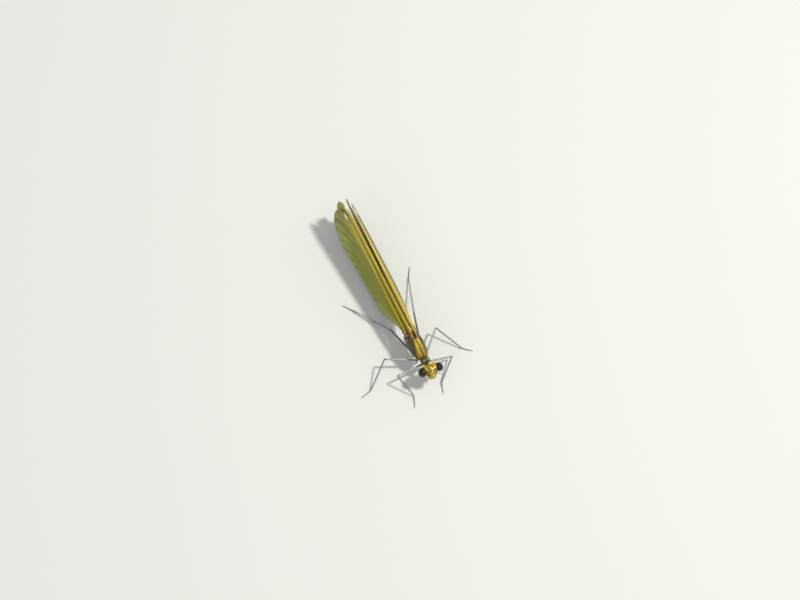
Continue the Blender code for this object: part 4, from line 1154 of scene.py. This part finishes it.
def film_group():
    """Wing film: olive cells clouded with brown, golden with a painted sheen near the front edge, painted
    shade along the pleats, darker to the tip.
    """
    group, given, made = new_group(
        "wing_film_tint",
        (("Gold And Sheen", 0.0), ("Tip", 0.0), ("Shade", 0.0)),
        (("Colour", "NodeSocketColor"), ("Alpha", "NodeSocketFloat"), ("Roughness", "NodeSocketFloat"),
         ("Height", "NodeSocketFloat")),
    )
    place = group.nodes.new("ShaderNodeTexCoord").outputs["Object"]
    cloud = lay_node(group, "TexNoise", (place, None, 420.0, 3.0, 0.5)).outputs["Fac"]
    ripple = lay_node(group, "TexNoise", (place, None, 1500.0, 2.0, 0.5)).outputs["Fac"]
    film = blend_colours(group, cloud, (0.44, 0.58, 0.012), (0.54, 0.5, 0.015))
    film = blend_colours(group, reckon(group, "MULTIPLY", given["Tip"], 0.7), film, (0.3, 0.19, 0.05))
    # Painted shade along the pleat lines, which also makes the film denser there.
    film = blend_colours(group, reckon(group, "MULTIPLY", given["Shade"], 0.8), film, (0.07, 0.09, 0.006))
    # Painted sheen: the front strip's film turned bright gold, on top of its own golden tint.
    film = blend_colours(group, reckon(group, "MULTIPLY", given["Gold And Sheen"], 0.85), film, (0.92, 0.62, 0.02))
    group.links.new(film, made["Colour"])
    clear = reckon(group, "MULTIPLY_ADD", cloud, 0.16, 0.46)
    clear = reckon(group, "MULTIPLY_ADD", given["Gold And Sheen"], 0.36, clear)
    clear = reckon(group, "MULTIPLY_ADD", given["Shade"], 0.2, clear)
    group.links.new(reckon(group, "MULTIPLY_ADD", given["Tip"], 0.12, clear), made["Alpha"])
    group.links.new(reckon(group, "MULTIPLY_ADD", cloud, 0.16, 0.16), made["Roughness"])
    group.links.new(ripple, made["Height"])
    return group


def film_paint():
    """Clear film with a soft shine, buckled a little between its veins."""
    paint = bpy.data.materials.new("wing_film")
    paint.use_nodes = True
    tree = paint.node_tree
    shader = tree.nodes["Principled BSDF"]
    tint = tree.nodes.new("ShaderNodeGroup")
    tint.node_tree = film_group()
    for mark, socket in (("gold", "Gold And Sheen"), ("tip", "Tip"), ("shade", "Shade")):
        read = lay_node(tree, "Attribute", attribute_name=mark)
        tree.links.new(read.outputs["Fac"], tint.inputs[socket])
    bump = lay_node(tree, "Bump")
    bump.inputs["Distance"].default_value = 0.03 * MM
    tree.links.new(tint.outputs["Height"], bump.inputs["Height"])
    for output, socket in (("Colour", "Base Color"), ("Alpha", "Alpha"), ("Roughness", "Roughness")):
        tree.links.new(tint.outputs[output], shader.inputs[socket])
    tree.links.new(bump.outputs["Normal"], shader.inputs["Normal"])
    shader.inputs["Specular IOR Level"].default_value = 0.6
    shader.inputs["Subsurface Weight"].default_value = 0.4
    shader.inputs["Subsurface Radius"].default_value = (1.0, 1.0, 0.2)
    shader.inputs["Subsurface Scale"].default_value = 0.2 * MM
    return paint


film_material = film_paint()
# The veins' gold layer is their own golden bronze, brightened along the front strip into a painted sheen.
vein_paint = chitin_paint(
    "wing_veins",
    (0.05, 0.034, 0.01),
    (("gold", (0.95, 0.64, 0.02)), ("bronze", (0.36, 0.25, 0.02)), ("white", (0.92, 0.9, 0.8))),
    (0.12, 0.075, 0.015),
    0.4,
    0.3,
    0.35,
    grain=3800.0,
    pit=0.002,
    coat=0.3,
)
stigma_paint = chitin_paint("stigma_cream", (0.92, 0.9, 0.8), (), (0.8, 0.75, 0.6), 0.4, 0.45, 0.0, 5200.0,
    0.003)
chance = np.random.default_rng(17)
for wing, (side, root, tip_side, length, width, flare, twist) in WING_PLACES.items():
    strip, fan = wing_plan(length, width)
    place, out = wing_placer(side, root, tip_side, length, flare, twist)

    r_all = np.linspace(0, 1, FILM_STATIONS)[None, :]
    t_all = np.linspace(0, 1, STRIP_ROWS)[:-1, None]
    q_all = np.linspace(0, 1, FAN_ROWS)[:, None]
    strip_t, strip_r = np.broadcast_arrays(t_all, r_all)
    fan_q, fan_r = np.broadcast_arrays(q_all, r_all)
    flat = np.concatenate([strip(strip_t, strip_r), fan(fan_q, fan_r)])
    height = np.concatenate([strip_height(strip_t, strip_r), fan_height(fan_q, fan_r)])
    # The gold and sheen mark: the whole front strip and the edge of the fan beside it, golden bronze with a
    # painted sheen, fading to the tip.
    gold = np.concatenate([1 + 0 * strip_t, bell(fan_q, 0.05) * (1 - 0.5 * fan_r)])
    rows, columns = height.shape
    faces_out = place(flat, height + FILM_HALF)
    faces_in = place(flat, height - FILM_HALF)
    index = np.arange(rows * columns).reshape(rows, columns)
    sheet = np.stack([index[:-1, :-1], index[1:, :-1], index[1:, 1:], index[:-1, 1:]], -1).reshape(-1, 4)
    under_sheet = sheet[:, ::-1] + rows * columns
    rim = np.concatenate([index[0, :], index[1:, -1], index[-1, -2::-1], index[-2:0:-1, 0]])
    rim_in = rim + rows * columns
    wall = np.stack([rim, np.roll(rim, -1), np.roll(rim_in, -1), rim_in], -1)
    quads = np.vstack([sheet, under_sheet, wall])
    film_points = np.vstack([faces_out.reshape(-1, 3), faces_in.reshape(-1, 3)])
    if side < 0:
        quads = quads[:, ::-1]
    tip = ease(flat[..., 0] / length, 0.8, 1.0)
    gold = gold * (1 - 0.75 * tip)
    # Painted shade: dark lines fanning to the hind edge along the pleats, where the folded film turns away
    # from the light, a little uneven in strength.
    pleat_painted_shade = bell((fan_q * PAINTED_SHADE_LINES + 0.5) % 1 - 0.5, 0.24) * ease(fan_r, 0.12, 0.4)
    pleat_painted_shade = pleat_painted_shade * (0.8 + 0.2 * np.cos(31.0 * fan_q + 4.0 * fan_r))
    shade = np.concatenate([0 * strip_t, pleat_painted_shade])
    make_piece(f"film_{wing}", film_points, quads, NO_FANS, film_material, "wing_olive", (wing,),
               gold=np.tile(gold.ravel(), 2), tip=np.tile(tip.ravel(), 2), shade=np.tile(shade.ravel(), 2))

    tubes, golds, bronzes = [], [], []
    tip_x = faces_out[..., 0].min()

    def add_veins(paths, radii, sides, gold_share, bronze_share):
        """Lay tubes along model paths and keep their two colour shares."""
        tube = strands(paths, radii, sides, out)
        tubes.append(tube)
        # The painted sheen on the veins fades towards the wing tip.
        fading = ease(tube[0][:, 0], tip_x, tip_x + 5.0)
        golds.append(gold_share * (0.25 + 0.75 * fading))
        bronzes.append(np.full(len(tube[0]), bronze_share))

    long_r = np.linspace(0, 1, 110)
    for t, thick, end in ((0.0, 0.085, 1.0), (0.5, 0.055, NODUS), (1.0, 0.075, 1.0)):
        r_here = long_r[(long_r <= end + 0.01) & (long_r > 0.012)]
        line = strip(0 * r_here + t, r_here)
        shape = np.column_stack([line, strip_height(0 * r_here + t, r_here)])
        bend = smooth_line(np.vstack([ROOT_BEND + (0.0, 0.3 * t, 0.0), shape[:2]]), 16)
        shape = np.vstack([bend[:-2], shape])
        thin = thick * (1.1 - 0.45 * np.clip(shape[:, 0] / length, 0, 1))
        add_veins(place(shape[:, :2], shape[:, 2])[None], thin[None], 8, 1.0 if t != 0.5 else 0.4, 0.0)
    edge, run, tip_run = wing_margin(length, width)
    round_edge = on_edge(edge, run, np.linspace(tip_run - 0.2, run[-1], 170))
    hind_stub = np.array([[0.0, 0.12 * width + 0.25], [-0.25, 0.12 * width + 0.6]])
    round_edge = np.vstack([round_edge, hind_stub])
    add_veins(place(round_edge, 0 * round_edge[:, 0])[None], np.full((1, len(round_edge)), 0.036), 6, 0.0,
        0.6)

    veins, gaps = sector_veins(fan)
    for rank, thick, count in ((0, 0.06, 90), (1, 0.05, 80), (2, 0.043, 60), (3, 0.037, 40), (4, 0.032, 24),
            (5, 0.03, 12)):
        chosen = [(q, start) for q, start, of_rank in veins if of_rank == rank and q != 0.0]
        if not chosen:
            continue
        q = np.array([q for q, _ in chosen])[:, None]
        start = np.array([start for _, start in chosen])[:, None]
        r = start + (1 - start) * np.linspace(0, 1, count)[None, :]
        q = q + 0 * r
        add_veins(place(fan(q, r), fan_height(q, r)), thick * (1 - 0.35 * r), 5, 0.0, 0.8 - 0.08 * rank)
    ends = cross_veins(fan, gaps, chance)
    wide = ends[:, 2] - ends[:, 0] > 0.05
    for chosen, count in ((ends[wide], 9), (ends[~wide], 3)):
        across = np.linspace(0, 1, count)[None, :]
        q = chosen[:, 0:1] + (chosen[:, 2:3] - chosen[:, 0:1]) * across
        r = chosen[:, 1:2] + (chosen[:, 3:4] - chosen[:, 1:2]) * across
        add_veins(place(fan(q, r), fan_height(q, r)), np.full(q.shape, 0.02), 4, 0.0, 0.4)
    before = np.linspace(0.03, NODUS, 26)
    beyond = np.linspace(NODUS + 0.017, 0.985, 30)
    for low, high, at in ((0.0, 0.5, before), (0.5, 1.0, before[:-1] + 0.004), (0.0, 1.0, beyond)):
        t = low + (high - low) * np.linspace(0, 1, 3)[None, :]
        r = (at + chance.uniform(-0.002, 0.002, len(at)))[:, None] + 0 * t
        t = t + 0 * r
        add_veins(place(strip(t, r), strip_height(t, r)), np.full(t.shape, 0.03), 5, 0.35, 0.4)
    nodus_t = np.linspace(0, 1, 6)[None, :]
    nodus_r = 0 * nodus_t + NODUS
    add_veins(place(strip(nodus_t, nodus_r), strip_height(nodus_t, nodus_r)), np.full((1, 6), 0.062), 6,
        0.2, 0.0)
    vein_points, vein_quads, vein_fans = gather(tubes)
    spot_r = 1 - np.array(STIGMA) / length
    spot_ends = place(strip(0 * spot_r, spot_r), 0 * spot_r)[:, 0]
    on_spot = ease(vein_points[:, 0], spot_ends.min(), spot_ends.min() + 0.15)
    on_spot = on_spot * (1 - ease(vein_points[:, 0], spot_ends.max() - 0.15, spot_ends.max()))
    make_piece(f"veins_{wing}", vein_points, vein_quads, vein_fans, vein_paint, "wing_olive",
               gold=np.concatenate(golds), bronze=np.concatenate(bronzes),
               white=on_spot * ease(np.concatenate(golds), 0.5, 0.7))

    spots = shell_of(ROOT_FORMS, ROOT_CORE, 90, 110, 1.6)[0]
    plate_quads, plate_fans = shell_faces(89, 110)
    tint = bell(spots[:, 0] + 0.2, 0.34) * bell(spots[:, 1] - 0.75, 0.45)
    tint = np.maximum(tint, 0.9 * bell(spots[:, 0] - 0.3, 0.2) * bell(spots[:, 1] - 0.95, 0.2))
    flip = -1 if side > 0 else 1
    make_piece(f"root_plates_{wing}", place(spots[:, :2], spots[:, 2]), plate_quads[:, ::flip],
               plate_fans[:, ::flip], hide_paint, "thorax_bronze", pink=tint, blue=0.9 * (1 - tint))

    u = np.linspace(-1, 1, 31)[None, :]
    v = np.linspace(-1, 1, 13)[:, None]
    t = 0.45 + 0.61 * v * (1 - 0.995 * u**4) ** 0.25
    r = spot_r.mean() + 0.5 * np.ptp(spot_r) * u - 0.6 / length * (t - 0.5)
    flat = strip(t, r)
    lens = 0.115 * np.sqrt((1 - 0.7 * v**4) * (1 - 0.9 * u**4))
    upper = place(flat, strip_height(t, r) + lens)
    lower = place(flat, strip_height(t, r) - lens)
    index = np.arange(t.size).reshape(t.shape)
    sheet = np.stack([index[:-1, :-1], index[1:, :-1], index[1:, 1:], index[:-1, 1:]], -1).reshape(-1, 4)
    rim = np.concatenate([index[0, :], index[1:, -1], index[-1, -2::-1], index[-2:0:-1, 0]])
    wall = np.stack([rim, np.roll(rim, -1), np.roll(rim, -1) + t.size, rim + t.size], -1)
    quads = np.vstack([sheet, sheet[:, ::-1] + t.size, wall])
    if side < 0:
        quads = quads[:, ::-1]
    make_piece(f"stigma_{wing}", np.vstack([upper.reshape(-1, 3), lower.reshape(-1, 3)]), quads, NO_FANS,
               stigma_paint, "wing_olive")

# The end of the tail. Above, two short blunt claspers of hard dark chitin; below, the pair of
# sheath plates with a saw-toothed lower edge that hold the egg-laying blades, each with a tiny
# feeler-like tip. They are hinged under the last rings.
TAIL_TIP = tail_joints[-1]
CLASPER_BENDS = ((0.5, 0.26, 0.16), (0.2, 0.28, 0.2), (-0.15, 0.33, 0.2), (-0.42, 0.38, 0.22),
    (-0.62, 0.36, 0.25))
CLASPER_RADII = (0.1, 0.13, 0.13, 0.12, 0.045)
SHEATH_KEYS = ((2.75, 0.42, 0.16, 0.2), (2.3, 0.75, 0.24, 0.3), (1.5, 0.92, 0.27, 0.34),
    (0.7, 0.92, 0.24, 0.3),
               (0.1, 0.82, 0.17, 0.22), (-0.22, 0.74, 0.08, 0.1))
SHEATH_APART = 0.11
SHEATH_SIDES = 28
SHEATH_STATIONS = 130
TOOTH_STEP = 0.13

stations = np.linspace(SHEATH_KEYS[0][0], SHEATH_KEYS[-1][0], SHEATH_STATIONS)
under, thick, deep = through(SHEATH_KEYS, stations).T
tail_y, tail_z = through(TAIL_LINE, TAIL_TIP + stations).T
ends = np.sqrt(np.clip((SHEATH_KEYS[0][0] - stations) / 0.3, 0.02, 1) * np.clip((stations + 0.22) / 0.15,
    0.02, 1))
parts = []
darks = []
for side in (1.0, -1.0):
    around = np.arange(SHEATH_SIDES) * (2 * math.pi / SHEATH_SIDES)
    edge = np.clip(-np.sin(around), 0, 1) ** 8
    teeth = 0.05 * np.abs(np.sin(math.pi * stations / TOOTH_STEP))[:, None] * edge * (stations < 1.7)[:, None]
    y = tail_y[:, None] + side * SHEATH_APART + 0.5 * (thick * ends)[:, None] * np.cos(around)
    z = (tail_z - under)[:, None] + (deep * ends)[:, None] * np.sin(around) - teeth
    x = TAIL_TIP + stations[:, None] + 0 * y
    rings = np.stack([x, y, z], -1)[:, ::-1]
    middles = rings[[0, -1]].mean(axis=1)
    parts.append((np.vstack([rings.reshape(-1, 3), middles]), *shell_faces(SHEATH_STATIONS, SHEATH_SIDES)))
    darks.append(np.append(bell(z + under[:, None] - tail_z[:, None] + 0.28, 0.08)[:, ::-1], np.zeros(2)))
    tip_y, tip_z = through(TAIL_LINE, np.array([TAIL_TIP - 0.1]))[0]
    style = np.array([[0.06, 0.0, 0.0], [-0.12, 0.02 * side, 0.05], [-0.3, 0.05 * side, 0.16]])
    style = smooth_line(style + (TAIL_TIP - 0.1, tip_y + side * SHEATH_APART, tip_z - 0.72), 10)
    parts.append(strands(style[None], np.linspace(0.045, 0.02, 10)[None], 8, (0, 0, 1.0)))
    darks.append(np.full(len(parts[-1][0]), 0.8))
points, quads, fans = gather(parts)
make_piece("egg_sheath", points + THORAX_AT, quads, fans, hide_paint, "abdomen_bronze", ("ovipositor",),
           pale=0.35 * (1 - np.concatenate(darks)), dark=np.concatenate(darks))

clasps = []
for side in (1.0, -1.0):
    bends = np.array(CLASPER_BENDS)
    tip_y, tip_z = through(TAIL_LINE, np.array([TAIL_TIP]))[0]
    line = np.column_stack([TAIL_TIP + bends[:, 0], tip_y + side * bends[:, 1], tip_z + bends[:, 2]])
    line = smooth_line(line, 40)
    radii = np.interp(np.linspace(0, 1, 40), np.linspace(0, 1, len(CLASPER_RADII)), CLASPER_RADII)
    radii[-4:] *= (0.95, 0.85, 0.65, 0.3)
    clasps.append(strands(line[None], radii[None], 16, (0, 0, 1.0)))
points, quads, fans = gather(clasps)
make_piece("claspers", points + THORAX_AT, quads, fans, hide_paint, "abdomen_bronze",
    dark=np.full(len(points), 0.6))

# The bristles of the body. Fine dark hairs stand on the brow, cheeks and upper lip, and short
# ones on the collar, the flanks and the last rings of the tail; each grows from its own pore.
HAIR_LEAN = 0.35


def hairs_on(points, outward, count, chooser, length, thickness, rng):
    """Hairs at points drawn where a chooser allows, standing outward with a little spread."""
    allowed = np.nonzero(chooser)[0]
    picked = rng.choice(allowed, min(count, len(allowed)), replace=False)
    ways = outward[picked] + HAIR_LEAN * rng.normal(size=(len(picked), 3))
    return bristles(points[picked], ways, length * rng.uniform(0.6, 1.2, len(picked)), thickness, 0.2)


def outward_of(grid):
    """Outward directions of a ringed surface from the cross product of its two grid steps."""
    down = np.gradient(grid, axis=0)
    round_about = np.roll(grid, -1, axis=1) - np.roll(grid, 1, axis=1)
    normal = np.cross(round_about, down)
    return normal / np.maximum(np.linalg.norm(normal, axis=2, keepdims=True), 1e-9)


hair_chance = np.random.default_rng(23)
head_out = on_head(head_points + head_rays) - on_head(head_points)

hairy = (head_points[:, 0] > 1.1) & (np.abs(head_points[:, 1]) < 1.2) & (head_points[:, 2] < 1.15)
head_hairs = hairs_on(on_head(head_points), head_out, 420, hairy, 0.2, 0.009, hair_chance)
make_piece("head_hairs", *head_hairs, spine_paint, "antenna_black")

body_out = outward_of(body).reshape(-1, 3)
flat_body = body.reshape(-1, 3)
place_x, place_angle = x_all.ravel(), side_angle.ravel()
on_flank = (place_x > -3.6) & (place_x < 3.2) & (place_angle < 0.6)
on_collar = (place_x > 3.7) & (place_x < 4.9) & (place_angle > -0.6)
on_end = (place_x < tail_joints[7]) & (place_x > TAIL_TIP + 0.06)
pale_hairs = gather([
    hairs_on(flat_body, body_out, 620, on_flank, 0.3, 0.008, hair_chance),
    hairs_on(flat_body, body_out, 130, on_collar, 0.2, 0.008, hair_chance),
])
hair_paint = chitin_paint("hair_pale", (0.42, 0.37, 0.24), (), (0.2, 0.16, 0.08), 0.4, 0.4, 0.0, 9000.0)
make_piece("body_hairs", *pale_hairs, hair_paint, "thorax_bronze")
make_piece("tail_hairs", *hairs_on(flat_body, body_out, 190, on_end, 0.17, 0.008, hair_chance), spine_paint,
           "antenna_black")
